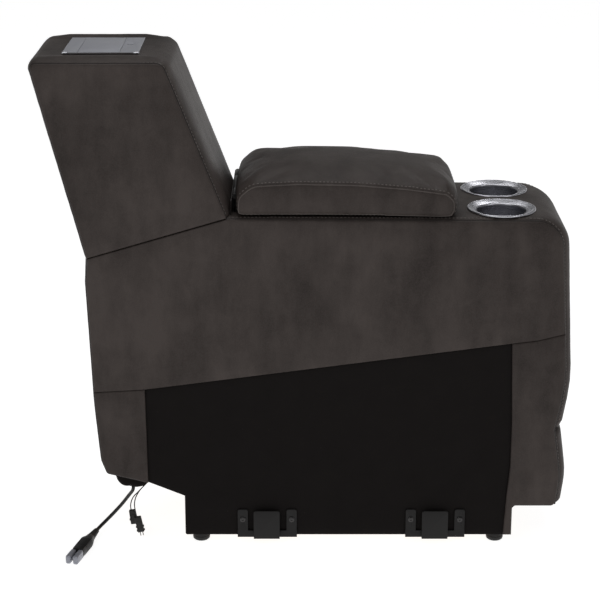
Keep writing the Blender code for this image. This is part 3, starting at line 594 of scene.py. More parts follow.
clear = Finish("clearVinyl", Alpha=0.72, Specular_IOR_Level=0.6)
haze = clear.clouds(120.0, 3.0)
clearVinyl = clear.feed(
    Base_Color=clear.blended(haze, (0.25, 0.26, 0.31, 1), (0.42, 0.43, 0.48, 1)),
    Roughness=0.18 + haze * 0.12,
    Normal=clear.bumped(haze, 0.2, 0.001),
)
coverParts = []
coverEnd = plugSettings["face"] + plugSettings["cover"]
for shift in (-0.0074, 0.0074):
    sleeve = blockPiece("coverSleeve", (shift - 0.0052, -0.0088, 0.1074),
                        (shift + 0.0052, 0.0088, coverEnd), 0.0034, 4)
    hollow = blockPiece("coverHollow", (shift - 0.0040, -0.0076, 0.1064),
                        (shift + 0.0040, 0.0076, coverEnd - 0.002), 0.0022, 3)
    coverParts.append(cutWith(sleeve, hollow))
bladeCover = joined(*coverParts)
bladeCover.name = "bladeCover"
moveTo(bladeCover, plugStart, plugTurn)
dress(bladeCover, "root", clearVinyl, [], 30)


def connectorPiece(name, top, tilt, size, shift, node, lugs, pins):
    wide, deep, tall = size
    shell = blockPiece(name, (-wide / 2, -deep / 2, -tall), (wide / 2, deep / 2, -0.0004),
                       0.0011, 2)
    extras = [
        blockPiece("latch", (-wide * 0.22, -deep / 2 - 0.0011, -tall * 0.80),
                   (wide * 0.22, -deep / 2 + 0.001, -tall * 0.30), 0.0004, 1),
        blockPiece("seal", (-wide * 0.36, -deep * 0.36, -0.0012),
                   (wide * 0.36, deep * 0.36, 0.0), 0.0002, 1),
    ]
    for height in lugs:
        extras.append(blockPiece("lug", (-wide / 2 - 0.0016, -deep * 0.3, -tall * height - 0.0035),
                                 (wide / 2 + 0.0016, deep * 0.3, -tall * height), 0.0005, 1))
    for rib in (-0.34, 0.34):
        extras.append(blockPiece("rib", (wide * rib - 0.0008, -deep / 2 - 0.0006, -tall * 0.92),
                                 (wide * rib + 0.0008, -deep / 2 + 0.001, -tall * 0.10), 0.0003, 1))
    joined(shell, *extras)
    turn = Euler((0, -tilt, 0))
    moveTo(shell, Vector(top) + turn.to_matrix() @ Vector((shift, 0, 0)), turn)
    dress(shell, "root", blackPlastic, [node], 35)
    found = [shell]
    if pins:
        prongs = []
        for offset in pins:
            prongs.append(ringPiece("prong", 14, [
                (-tall - 0.0088, 0.0004, 0.0004), (-tall - 0.0084, 0.0008, 0.0008),
                (-tall + 0.002, 0.0009, 0.0009)], (offset, 0, 0)))
        prong = joined(*prongs)
        prong.name = name + "Pins"
        moveTo(prong, top, turn)
        found.append(dress(prong, "root", pinBrass, [], 40))
    return found


leftTop = Vector(wires["left"][-1]) - Vector((0, 0, 0.0008))
rightTop = Vector(wires["right"][-1]) - Vector((0, 0, 0.0012))
leftConnector = connectorPiece("leftConnector", leftTop, math.radians(7),
                               (0.0130, 0.0080, 0.0300), 0.0022, "left_connector", (0.62,), ())
rightConnector = connectorPiece("rightConnector", rightTop, math.radians(11.5),
                                (0.0130, 0.0080, 0.0330), 0.0018, "right_connector",
                                (0.60, 0.84), (-0.0008, 0.0044))
print("plug and connectors made")


# upholstery: outlines in X and Z, leather panels on the sides, leather wrapped across
def rounded(corners, closed=True, turn=7):
    points = []
    count = len(corners)
    for i, corner in enumerate(corners):
        here = Vector(corner[:2])
        if len(corner) == 2 or (not closed and i in (0, count - 1)):
            points.append(here)
            continue
        toLast = (Vector(corners[i - 1][:2]) - here).normalized()
        toNext = (Vector(corners[(i + 1) % count][:2]) - here).normalized()
        opening = toLast.angle(toNext)
        reach = corner[2] / math.tan(opening / 2)
        centre = here + (toLast + toNext).normalized() * corner[2] / math.sin(opening / 2)
        start = here + toLast * reach - centre
        sweep = -start.angle_signed(here + toNext * reach - centre)
        steps = max(2, math.ceil(abs(sweep) / math.radians(turn)))
        for step in range(steps + 1):
            angle = sweep * step / steps
            points.append(centre + Vector((
                start.x * math.cos(angle) - start.y * math.sin(angle),
                start.x * math.sin(angle) + start.y * math.cos(angle))))
    return points


def evenly(points, step, closed=True):
    following = points[1:] + (points[:1] if closed else [])
    line = []
    for a, b in zip(points, following):
        count = max(1, round((b - a).length / step))
        line += [a.lerp(b, i / count) for i in range(count)]
    if not closed:
        line.append(points[-1])
    return np.array([tuple(p) for p in line])


def unit(arrows):
    return arrows / np.maximum(np.linalg.norm(arrows, axis=1, keepdims=True), 1e-9)


def inwardOf(line, closed=True):
    before = np.roll(line, 1, 0)
    after = np.roll(line, -1, 0)
    if not closed:
        before[0] = 2 * line[0] - line[1]
        after[-1] = 2 * line[-1] - line[-2]
    first = unit(line - before) @ np.array([[0, 1], [-1, 0]])
    second = unit(after - line) @ np.array([[0, 1], [-1, 0]])
    both = unit(first + second)
    return both / np.maximum((both * first).sum(1), 0.6)[:, None]


def leftTurning(line):
    after = np.roll(line, -1, 0)
    area = (line[:, 0] * after[:, 1] - after[:, 0] * line[:, 1]).sum()
    return line if area > 0 else line[::-1]


def gapTo(points, line):
    after = np.roll(line, -1, 0)
    along = after - line
    lengths = np.maximum((along ** 2).sum(1), 1e-12)
    found = np.empty(len(points))
    for start in range(0, len(points), 1500):
        some = points[start:start + 1500, None, :] - line[None]
        share = np.clip((some * along[None]).sum(2) / lengths, 0, 1)
        off = some - share[:, :, None] * along[None]
        found[start:start + 1500] = np.sqrt((off ** 2).sum(2)).min(1)
    return found


def within(points, line):
    after = np.roll(line, -1, 0)
    inside = np.zeros(len(points), bool)
    for (ax, az), (bx, bz) in zip(line, after):
        crosses = (az > points[:, 1]) != (bz > points[:, 1])
        height = bz - az if abs(bz - az) > 1e-12 else 1e-12
        inside ^= crosses & (points[:, 0] < (bx - ax) * (points[:, 1] - az) / height + ax)
    return inside


def rolledIn(gap, radius):
    # how far a rounded edge has fallen away at a distance from its end
    short = radius - np.minimum(gap, radius)
    return radius - np.sqrt(np.maximum(radius ** 2 - short ** 2, 0))


def ripples(points, gap, broad, pucker, seed):
    found = np.empty(len(points))
    for i, (x, y, z) in enumerate(points):
        slow = noise.noise(Vector((x * 6.0 + seed, y * 6.0, z * 6.0)))
        slow += 0.45 * noise.noise(Vector((x * 15.0, y * 15.0 + seed, z * 15.0)))
        quick = noise.noise(Vector((x * 62.0, y * 62.0, z * 62.0 + seed)))
        found[i] = broad * slow * (1 - math.exp(-gap[i] / 0.03)) + pucker * quick * (
            math.exp(-gap[i] / 0.016) * (1 - math.exp(-gap[i] / 0.003)))
    return found


panelLook = {"inset": 0.0001, "roll": 0.0042, "crown": 0.0046, "spread": 0.022,
             "broad": 0.0014, "pucker": 0.0008, "grid": 0.0065}


def leatherPanel(name, corners, side, face, back, seed, tight=(), look=panelLook):
    line = leftTurning(evenly(rounded(corners), 0.005))
    inward = inwardOf(line)
    line = line + inward * look["inset"]
    rings = [line] + [line + inward * d for d in (0.0005, 0.0014, 0.0028, 0.0048)]
    low = line.min(0)
    high = line.max(0)
    step = look["grid"]
    columns, rows = np.meshgrid(np.arange(low[0], high[0], step),
                                np.arange(low[1], high[1], step * 0.866))
    columns = columns + (np.arange(len(rows)) % 2)[:, None] * step / 2
    grid = np.stack([columns.ravel(), rows.ravel()], 1)
    grid = grid[within(grid, line)]
    grid = grid[gapTo(grid, line) > 0.0085]
    flat = np.concatenate(rings + [grid])
    count = len(line)
    edges = [(i, (i + 1) % count) for i in range(count)]
    made = delaunay_2d_cdt([Vector(p) for p in flat], edges, [], 1, 1e-6)
    spots = np.array([tuple(p) for p in made[0]])
    firstUse = {}
    for index, originals in enumerate(made[3]):
        for original in originals:
            firstUse.setdefault(original, index)
    border = [firstUse[i] for i in range(count)]
    gap = gapTo(spots, line)
    solid = np.stack([spots[:, 0], np.full(len(spots), side * face), spots[:, 1]], 1)
    roll = np.full(len(spots), look["roll"])
    for ends in tight:
        share = np.clip(gapTo(spots, np.array(ends)) / 0.016, 0, 1)
        roll = np.minimum(roll, 0.0020 + (look["roll"] - 0.0020) * share)
    depth = face - rolledIn(gap, roll) + look["crown"] * (1 - np.exp(-gap / look["spread"]))
    depth += ripples(solid, gap, look["broad"], look["pucker"], seed)
    solid[:, 1] = side * depth
    rear = solid[border].copy()
    rear[:, 1] = side * back
    total = len(solid)
    faces = [tuple(f) for f in made[2]]
    for i in range(count):
        j = (i + 1) % count
        faces.append((border[i], border[j], total + j, total + i))
    faces.append(tuple(range(total, total + count)))
    obj = fromPoints(name, np.concatenate([solid, rear]), faces)
    edgeLine = [Vector((x, side * (face - look["roll"]), z)) for x, z in line]
    return obj, edgeLine


def wrapped(roll, broad, pucker, front=(0.0, 2.0), top=(0.0, 2.0), rear=(0.0, 2.0), **more):
    # front, top and rear say how high the leather rises there, and how quickly
    return {"roll": roll, "broad": broad, "pucker": pucker,
            "front": front, "top": top, "rear": rear, **more}


def leatherWrap(name, outer, inner, half, look, closed=False, seed=0.0):
    line = evenly(rounded(outer, closed), look.get("step", 0.005), closed)
    if closed:
        line = leftTurning(line)
    inward = inwardOf(line, closed)
    ahead = np.maximum(-inward[:, 0], 0) ** 2
    up = np.maximum(-inward[:, 1], 0) ** 2
    behind = np.maximum(inward[:, 0], 0) ** 2
    roll = look["roll"]
    gaps = [0, 0.0005, 0.0014, 0.0028, 0.0046, 0.0068, 0.0095, 0.013, 0.018]
    middle = list(np.arange(0.024, half - 0.001, look.get("across", 0.007)))
    stations = [-(half - g) for g in gaps + middle] + [0.0]
    stations += [half - g for g in reversed(gaps + middle)]
    rows = []
    for y in stations:
        gap = half - abs(y)
        share = abs(y) / half
        raised = sum(height * part * (1 - share ** power) for part, (height, power) in (
            (ahead, look["front"]), (up, look["top"]), (behind, look["rear"])))
        raised = raised - rolledIn(np.array([gap]), roll)[0]
        ring3 = np.stack([line[:, 0], np.full(len(line), y), line[:, 1]], 1)
        free = (up + ahead + behind)
        raised = raised + free * ripples(ring3, np.full(len(line), gap), look["broad"],
                                         look["pucker"], seed)
        place = line - inward * raised[:, None]
        row = [(x, y, z) for x, z in place] + [(x, y, z) for x, z in inner]
        rows.append(row)
    width = len(rows[0])
    points = [p for row in rows for p in row]
    faces = []
    for s in range(len(rows) - 1):
        for i in range(width):
            j = (i + 1) % width
            faces.append((s * width + i, s * width + j, (s + 1) * width + j, (s + 1) * width + i))
    faces.append(tuple(range(width)))
    faces.append(tuple(range((len(rows) - 1) * width, len(rows) * width)))
    return fromPoints(name, points, faces)


# seams: a fine rolled edge along each, in darker leather as painted shade in the seam groove unless
# another finish is given, and rows of stitches beside it
def surfaceOf(*objs):
    points = []
    faces = []
    for obj in objs:
        start = len(points)
        points += [v.co.copy() for v in obj.data.vertices]
        faces += [[start + i for i in p.vertices] for p in obj.data.polygons]
    return BVHTree.FromPolygons(points, faces)


def walked(path, pitch, closed=False):
    places = list(path) + ([path[0]] if closed else [])
    length = sum((b - a).length for a, b in zip(places, places[1:]))
    count = max(2, int(length / pitch))
    found = []
    target = 0.0
    done = 0.0
    for a, b in zip(places, places[1:]):
        size = (b - a).length
        while size > 0 and target <= done + size + 1e-9 and len(found) < count:
            found.append((a.lerp(b, (target - done) / size), (b - a).normalized()))
            target += length / count
        done += size
    return found


def seamEdge(name, paths, radius, body, closed=False, finish=shadedSeamLeather):
    takeUp(polyCurve(name, paths, radius, 2, closed))
    bpy.ops.object.convert(target="MESH")
    return dress(bpy.context.object, body, finish)


stitch = {"pitch": 0.0072, "length": 0.0048, "wide": 0.00085, "proud": 0.00030}


def stitchRows(name, rows, surface, body):
    points = []
    faces = []
    shape = ((-0.5, 0.35, -2.6), (-0.34, 0.85, -0.2), (0.0, 1.0, 1.0), (0.34, 0.85, -0.2),
             (0.5, 0.35, -2.6))
    for path in rows:
        for place, along in walked(path, stitch["pitch"]):
            spot, normal = surface.find_nearest(place)[:2]
            if (spot - place).length > 0.02:
                continue
            across = along.cross(normal).normalized()
            along = normal.cross(across).normalized()
            start = len(points)
            for share, girth, lift in shape:
                middle = spot + along * share * stitch["length"] + normal * lift * stitch["proud"]
                for k in range(6):
                    angle = math.pi * k / 3
                    points.append(middle + (across * math.cos(angle) + normal * math.sin(angle))
                                  * girth * stitch["wide"])
            for ring in range(4):
                for k in range(6):
                    a = start + ring * 6 + k
                    b = start + ring * 6 + (k + 1) % 6
                    faces.append((a, b, b + 6, a + 6))
            faces.append(tuple(range(start, start + 6)))
            faces.append(tuple(range(start + 24, start + 30)))
    obj = fromPoints(name, points, faces)
    return dress(obj, body, thread)


def shifted(path, x=0.0, y=0.0, z=0.0):
    return [p + Vector((x, y, z)) for p in path]


# body leather
body = {"half": 0.145, "wrapHalf": 0.1388, "coverBack": 0.1391}
mainPanel = [
    (-0.1485, 0.6665), (0.4806, 0.662, 0.054), (0.4942, 0.440), (0.4425, 0.427), (0.3926, 0.4206),
    (-0.3099, 0.3270), (-0.4077, 0.3215), (-0.4155, 0.538), (-0.4115, 0.589),
]
frontPanel = [
    (0.4942, 0.440), (0.4995, 0.336, 0.32), (0.4815, 0.244, 0.010), (0.496, 0.145, 0.17),
    (0.4885, 0.083, 0.010), (0.4105, 0.083, 0.004), (0.4055, 0.078), (0.4055, 0.0205),
    (0.3885, 0.0205), (0.3935, 0.108), (0.3985, 0.167), (0.3985, 0.256), (0.3930, 0.4206),
    (0.4425, 0.427),
]
rearPanel = [
    (-0.3099, 0.3270), (-0.3080, 0.132), (-0.3875, 0.152, 0.008), (-0.3975, 0.179),
    (-0.4065, 0.288), (-0.4077, 0.3215),
]
innerSeams = [
    ((-0.1485, 0.6665), (-0.4115, 0.589)), ((-0.3099, 0.3270), (0.3926, 0.4206)),
    ((0.3926, 0.4206), (0.4425, 0.427)), ((0.4425, 0.427), (0.4942, 0.440)),
    ((-0.3099, 0.3270), (-0.4077, 0.3215)), ((0.3930, 0.4206), (0.3985, 0.256)),
    ((0.3985, 0.256), (0.3935, 0.108)), ((-0.3099, 0.3270), (-0.3080, 0.132)),
]
bodyPanels = []
for title, plain, side in sides:
    seed = 2.0 + side
    pieces = [
        leatherPanel("sidePanel" + title, mainPanel, side, 0.1462, body["coverBack"], seed,
                     innerSeams),
        leatherPanel("frontPanel" + title, frontPanel, side, 0.1460, body["coverBack"], seed + 5,
                     innerSeams),
        leatherPanel("rearPanel" + title, rearPanel, side, 0.1460, body["coverBack"], seed + 9,
                     innerSeams),
    ]
    for obj, line in pieces:
        dress(obj, "root", leather, ["side_cover_" + plain])
        bodyPanels.append(obj)
print("side panels made")

wrapLook = wrapped(0.0050, 0.0012, 0.0010, front=(0.0160, 12.0), top=(0.0042, 7.0))
topWrap = leatherWrap(
    "armTopLeather",
    [(0.4828, 0.2475), (0.4866, 0.2570, 0.008), (0.4992, 0.336, 0.32),
     (0.4803, 0.6640, 0.056), (-0.1481, 0.6665)],
    [(-0.1481, 0.6552), (0.4285, 0.6552), (0.4285, 0.2475)],
    body["wrapHalf"], wrapLook, seed=1.3)
lowLook = wrapped(0.0050, 0.0008, 0.0010, front=(0.0165, 12.0))
lowerPad = leatherWrap(
    "lowerFrontPad",
    [(0.4290, 0.0835), (0.4880, 0.0835, 0.011), (0.4955, 0.145, 0.17), (0.4820, 0.2405, 0.014),
     (0.4290, 0.2425)],
    [(0.4290, 0.2400), (0.4290, 0.0934), (0.3880, 0.0934), (0.3880, 0.0835)],
    body["wrapHalf"], lowLook, seed=4.1)

cups = {"x": 0.3715, "y": 0.0736, "hole": 0.0625}
for y in (-cups["y"], cups["y"]):
    deselect()
    bpy.ops.mesh.primitive_cylinder_add(vertices=64, radius=cups["hole"], depth=0.2,
                                        location=(cups["x"], y, 0.66))
    cutWith(topWrap, bpy.context.object)
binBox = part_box("storage_bin")
binHole = blockPiece("binHole", (binBox[0].x + 0.0078, binBox[0].y + 0.0078, 0.60),
                     (binBox[1].x - 0.0078, binBox[1].y - 0.0078, 0.72))
cutWith(topWrap, binHole)
dress(topWrap, "root", leather, ["arm_top_cover", "front_pad"], 50)
dress(lowerPad, "root", leather, ["front_pad"])

rearLook = wrapped(0.0032, 0.0012, 0.0007, rear=(0.0062, 13.0))
rearWrap = leatherWrap(
    "rearLeather",
    [(-0.1490, 0.6656), (-0.4118, 0.5877), (-0.4152, 0.538), (-0.4062, 0.288), (-0.3972, 0.179),
     (-0.3864, 0.1525)],
    [(-0.3806, 0.1525), (-0.3915, 0.179), (-0.4005, 0.288), (-0.4095, 0.538),
     (-0.4055, 0.5838), (-0.1490, 0.6598)],
    body["wrapHalf"], rearLook, seed=6.6)
bladeFoot = (-0.2835, 0, 0.6270)
backRake = 16.52
for side in (-1, 1):
    hole = blockPiece("bladeHole", (-0.021, side * 0.1220 - 0.0024, -0.03),
                      (0.021, side * 0.1220 + 0.0024, 0.03))
    cutWith(rearWrap, moveTo(hole, bladeFoot, (0, -math.radians(backRake), 0)))
dress(rearWrap, "root", leather, ["rear_cover"], 45)
print("body leather made")

# black lining cloth on the joining sides
liningOutline = [
    (-0.3130, 0.3295), (0.3962, 0.4240), (0.4012, 0.256), (0.4012, 0.167), (0.3962, 0.108),
    (0.3912, 0.0197), (-0.2376, 0.0197, 0.004), (-0.2376, 0.1030), (-0.3105, 0.1330),
]
liningLook = dict(panelLook, inset=0.0, roll=0.0006, crown=0.0026, spread=0.006, broad=0.0004,
                  pucker=0.0002, grid=0.009)
liningLine = leftTurning(evenly(rounded(liningOutline), 0.02))
liningAfter = np.roll(liningLine, -1, 0)
# the cut's bounding size and its area
liningCut = {
    "flat": [float(share) for share in np.ptp(liningLine, axis=0)],
    "area": float((liningLine[:, 0] * liningAfter[:, 1]
                   - liningAfter[:, 0] * liningLine[:, 1]).sum() / 2),
}
for title, plain, side in sides:
    cloth = leatherPanel("lining" + title, liningOutline, side, 0.1405, 0.1388, 12.0 + side,
                         (), liningLook)[0]
    dress(cloth, "root", liningCloth, ["side_lining_" + plain])
print("lining made")

# back leather
backOutline = [
    (-0.4122, 0.5900), (-0.1488, 0.6683), (-0.2624, 0.9590, 0.018), (-0.5062, 0.9590, 0.010),
]
backLook = wrapped(0.0048, 0.0009, 0.0010, front=(0.0125, 7.0), top=(0.0062, 9.0),
                   rear=(0.0088, 12.0))
backWrap = leatherWrap(
    "backLeather",
    [(-0.1500, 0.6683, 0.006), (-0.2630, 0.9586, 0.020), (-0.5059, 0.9586, 0.012),
     (-0.4119, 0.5902)],
    [(-0.4088, 0.5912), (-0.4990, 0.9532), (-0.3000, 0.9532), (-0.1885, 0.6572)],
    body["wrapHalf"], backLook, seed=8.4)
swelling = {"lowest": 0.957, "front": -0.27, "rear": -0.506, "middle": 0.110, "half": 0.026,
            "far": 0.0062, "near": 0.0030}
for corner in backWrap.data.vertices:
    # the leather swells a little on both sides of the hub
    if corner.co.z > swelling["lowest"] and corner.co.x < swelling["front"]:
        swell = max(0.0, 1 - ((abs(corner.co.y) - swelling["middle"]) / swelling["half"]) ** 2)
        front = min(1.0, max(0.0, (swelling["front"] - corner.co.x) / 0.04))
        behind = min(1.0, max(0.0, (corner.co.x - swelling["rear"]) / 0.045))
        height = swelling["far"] if corner.co.y > 0 else swelling["near"]
        corner.co.z += height * swell * swell * front * behind
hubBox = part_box("hub_housing")
hubHole = blockPiece("hubHole", (hubBox[0].x - 0.0006, hubBox[0].y - 0.0006, 0.90),
                     (hubBox[1].x + 0.0006, hubBox[1].y + 0.0006, 1.0))
cutWith(backWrap, hubHole)
dress(backWrap, "back", leather,
      ["back_front_pad", "back_top_cover", "back_rear_cover"], 50)
backSeams = []
for title, plain, side in sides:
    obj, line = leatherPanel("backSide" + title, backOutline, side, 0.1462, body["coverBack"],
                             20.0 + side, [(backOutline[0], backOutline[1])])
    dress(obj, "back", leather, ["back_side_cover_" + plain])
    backSeams.append(shifted(line, y=-side * 0.0004))
print("back leather made")

# lid cushion
lid = {
    "half": 0.1415, "voxel": 0.0055, "pressure": 2.4, "frames": 20, "cap": 0.009,
    "outline": [
        (-0.1292, 0.6715, 0.006), (-0.1275, 0.7060, 0.020), (-0.1000, 0.7285, 0.040),
        (-0.0154, 0.7330, 0.3), (0.0900, 0.7312, 0.4), (0.1900, 0.7230, 0.3),
        (0.2620, 0.7132, 0.014), (0.2765, 0.7000, 0.014), (0.2782, 0.6830, 0.012),
        (0.2710, 0.6688, 0.006), (0.2462, 0.6688), (0.1384, 0.6712),
    ],
    "look": wrapped(0.003, 0.0006, 0.0, front=(0.0100, 6.0), top=(0.0192, 7.0),
                    rear=(0.0030, 6.0)),
}


def puffed(obj, settings, seams):
    # the leather is blown up from inside, held at its seams and where it sits on its board
    applied(obj, "REMESH", mode="VOXEL", voxel_size=settings["voxel"])
    start = np.array([v.co for v in obj.data.vertices])
    low = start[:, 2].min()
    seamLine = np.array([tuple(p) for path in seams for p in path])
    held = obj.vertex_groups.new(name="held")
    for i, place in enumerate(start):
        near = np.sqrt(((seamLine - place) ** 2).sum(1).min())
        if near < 0.0045 or place[2] < low + 0.003:
            held.add([i], 1.0, "ADD")
    cloth = obj.modifiers.new("cloth", "CLOTH")
    cloth.settings.quality = 5
    cloth.settings.use_pressure = True
    cloth.settings.uniform_pressure_force = settings["pressure"]
    cloth.settings.vertex_group_mass = "held"
    cloth.settings.effector_weights.gravity = 0
    cloth.settings.tension_stiffness = 12
    cloth.settings.bending_stiffness = 0.8
    scene = bpy.context.scene
    for step in range(1, settings["frames"] + 1):
        scene.frame_set(step)
    graph = bpy.context.evaluated_depsgraph_get()
    soft = np.array([v.co for v in obj.evaluated_get(graph).data.vertices])
    obj.modifiers.remove(cloth)
    scene.frame_set(1)
    moved = soft - start
    size = np.maximum(np.linalg.norm(moved, axis=1, keepdims=True), 1e-9)
    print("puffed", obj.name, "by up to", round(float(size.max()), 4))
    moved *= settings["cap"] * np.tanh(size / settings["cap"]) / size
    obj.data.vertices.foreach_set("co", (start + moved).astype(np.float32).ravel())
    obj.data.update()
    applied(obj, "SMOOTH", factor=0.5, iterations=8)
    return applied(obj, "SUBSURF", levels=1, render_levels=1)


lidCushion = leatherWrap("lidCushion", lid["outline"], [], lid["half"], lid["look"], True, 3.7)
lidLine = leftTurning(evenly(rounded(lid["outline"]), 0.005))
lidEdge = {side: [Vector((x, side * (lid["half"] - 0.001), z)) for x, z in lidLine]
           for side in (-1, 1)}
puffed(lidCushion, lid, list(lidEdge.values()))
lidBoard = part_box("lid_board")
recess = blockPiece("lidRecess", [a - 0.0003 for a in lidBoard[0]],
                    [a + 0.0003 for a in lidBoard[1]])
for corner in recess.data.vertices:
    if corner.co.z < 0.68:
        corner.co.z -= 0.02
cutWith(lidCushion, recess)
dress(lidCushion, "lid", leather, ["lid_cushion"])
lidSurface = surfaceOf(lidCushion)
lidSeams = []
lidStitches = []
for side in (-1, 1):
    path = []
    for place in lidEdge[side]:
        spot, normal = lidSurface.find_nearest(place)[:2]
        path.append(spot + normal * 0.0002)
    lidSeams.append(path)
    lidStitches.append(shifted(path, y=-side * 0.0075))
# the lid's seam ridge is lighter leather, a painted highlight
seamEdge("lidSeams", lidSeams, 0.0013, "lid", True, highlightedSeamRidge)
stitchRows("lidStitches", [row + row[:1] for row in lidStitches], lidSurface, "lid")
flap = {"half": 0.1225, "tall": 0.0283, "look": wrapped(0.0005, 0.0004, 0.0003)}
# the hinge flap is dressed in the darker leather, painted shade for the gap between lid and back
hingeFlap = leatherWrap(
    "hingeFlap",
    [(-0.1414, 0.6955), (-0.1424, 0.6672)],
    [(-0.1410, 0.6672), (-0.1402, 0.6955)], flap["half"], flap["look"], seed=2.2)
dress(hingeFlap, "root", shadedSeamLeather, [], 50)
print("lid made")

# seams and stitches of the body and back
topEdge = [(0.4888, 0.0862), (0.496, 0.145, 0.17), (0.4815, 0.244, 0.010), (0.4995, 0.336, 0.32),
           (0.4806, 0.662, 0.054), (-0.1485, 0.6665)]
rearEdge = [(-0.4115, 0.589), (-0.4155, 0.538), (-0.4065, 0.288), (-0.3975, 0.179),
            (-0.3875, 0.152, 0.008), (-0.3090, 0.1325)]
bodySeams = []
for side in (-1, 1):
    for corners in (topEdge, rearEdge):
        bodySeams.append([Vector((x, side * 0.1416, z)) for x, z in rounded(corners, False)])
# the body and back seam edges use the darker leather: painted shade in the seam grooves
seamEdge("bodySeams", bodySeams, 0.0014, "root")
seamEdge("backSeams", backSeams, 0.0014, "back", True)
sewn = {
    "inset": 0.1330,
    "body": [
        [(0.4880, 0.256), (0.4992, 0.336, 0.32), (0.4803, 0.6640, 0.056), (-0.1440, 0.6665)],
        [(0.4860, 0.088), (0.4955, 0.145, 0.17), (0.4840, 0.232)],
    ],
    "back": [
        [(-0.1540, 0.675), (-0.2630, 0.9560, 0.020), (-0.5052, 0.9560, 0.012), (-0.4150, 0.598)],
    ],
}
bodyRows, backRows = [
    [[Vector((x, side * sewn["inset"], z))
      for x, z in evenly(rounded(corners, False), 0.005, False)]
     for side in (-1, 1) for corners in sewn[where]]
    for where in ("body", "back")
]
stitchRows("bodyStitches", bodyRows, surfaceOf(topWrap, lowerPad, *bodyPanels), "root")
stitchRows("backStitches", backRows, surfaceOf(backWrap), "back")
print("seams sewn")

# cup holders
cupRings = [
    (0.5893, 0.0010), (0.5893, 0.0400), (0.5905, 0.0440), (0.5950, 0.0472), (0.5990, 0.0484),
    (0.6622, 0.0485), (0.6640, 0.0540), (0.6664, 0.0620), (0.6672, 0.0648), (0.6684, 0.0655),
    (0.6700, 0.0654), (0.6711, 0.0645), (0.6714, 0.0633), (0.6708, 0.0618), (0.6666, 0.0508),
    (0.6664, 0.0490), (0.6657, 0.0477), (0.6644, 0.0470), (0.6620, 0.0469), (0.6000, 0.0466),
    (0.5945, 0.0440), (0.5915, 0.0400), (0.5909, 0.0360), (0.5909, 0.0010),
]
for title, plain, side in sides:
    centre = (cups["x"], side * cups["y"], 0.0)
    cup = ringPiece("cupHolder" + title, 96, [(z, r, r) for z, r in cupRings], centre)
    dress(cup, "root", ringedSteel("cupSteel" + title, centre),
          ["cup_holder_" + plain], 50)
print("cup holders turned")

# feet
footRings = [
    (0.0, 0.0125), (0.0006, 0.0140), (0.0030, 0.0165), (0.0060, 0.0170), (0.0090, 0.0168),
    (0.0096, 0.0160), (0.0106, 0.0160), (0.0112, 0.0168), (0.0180, 0.0165), (0.0198, 0.0152),
    (0.0200, 0.0048), (0.0303, 0.0040),
]
for title, plain, side in sides:
    for end, x in (("Rear", -0.2075), ("Front", 0.3755)):
        foot = ringPiece("foot" + title + end, 40, [(z, r, r) for z, r in footRings],
                         (x, side * 0.115, 0))
        dress(foot, "root", blackPlastic,
              ["foot_" + plain + "_" + end.lower()], 35)

# brackets and their screws
screwRings = [
    (-0.0045, 0.0022), (-0.0016, 0.0024), (-0.0014, 0.0055), (-0.0011, 0.0055),
    (-0.0004, 0.0045), (0.0, 0.0030), (0.0, 0.0020), (-0.0011, 0.0015),
]
for title, plain, side in sides:
    for end in ("rear", "front"):
        node = "bracket_" + plain + "_" + end
        bracket = softened(node, "bracket" + title + end.title(), 0.0007, 2, 40, (0.045, 0.0042))
        dress(bracket, "root", bracketSteel, [node], 35)
        for mark in ("a", "b"):
            node = "bracket_screw_" + plain + "_" + end + "_" + mark
            low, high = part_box(node)
            x = (low.x + high.x) / 2
            z = (low.z + high.z) / 2
            outer = high.y if side > 0 else -low.y
            screw = ringPiece("screw" + title + end.title() + mark.upper(), 24,
                              [(height, r, r) for height, r in screwRings],
                              (x, side * outer, z), (-side * math.pi / 2, 0, 0))
            dress(screw, "root", screwSteel, [node], 35)
print("brackets and feet made")

# power hub
hub = {"edge": 0.0007, "sockets": (-0.034, 0.034), "rim": 0.0009}
bezel = softened("hub_bezel", "hubBezel", hub["edge"], 3, 35)
dress(bezel, "back", hubAluminium, ["hub_bezel"], 30)
bezel.data.materials.append(hubEdge)
hubLow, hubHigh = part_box("hub_bezel")
clips = []
for x in (hubLow.x + 0.0048, hubHigh.x - 0.0048):
    y = hubLow.y + 0.0030
    clips.append(blockPiece("hubClip", (x - 0.0052, y - 0.0042, hubHigh.z - 0.0024),
                            (x + 0.0052, y + 0.0046, hubHigh.z + 0.0005), 0.0013, 3))
dress(joined(*clips), "back", hubEdge, [], 35)
for face in bezel.data.polygons:
    if any(face.center[axis] < hubLow[axis] + hub["rim"]
           or face.center[axis] > hubHigh[axis] - hub["rim"] for axis in (0, 1)):
        face.material_index = 1
door = softened("hub_door", "hubDoor", 0.0004, 2, 35)
dress(door, "hub_door", hubAluminium, ["hub_door"], 30)
buttonLow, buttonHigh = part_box("hub_button")
buttonTop = buttonHigh.z
buttonRings = [(buttonLow.z, 0.0057, 0.0057), (buttonTop - 0.0009, 0.0059, 0.0059),
               (buttonTop - 0.0003, 0.0056, 0.0056), (buttonTop, 0.0050, 0.0050),
               (buttonTop - 0.0004, 0.0036, 0.0036), (buttonTop - 0.0005, 0.0010, 0.0010)]
button = ringPiece("hubButton", 40, buttonRings,
                   ((buttonLow.x + buttonHigh.x) / 2, (buttonLow.y + buttonHigh.y) / 2, 0))
dress(button, "hub_button", hubAluminium, ["hub_button"], 35)
housing = softened("hub_housing", "hubHousing", 0.0006, 2, 40)
dress(housing, "back", blackPlastic, ["hub_housing"], 30)

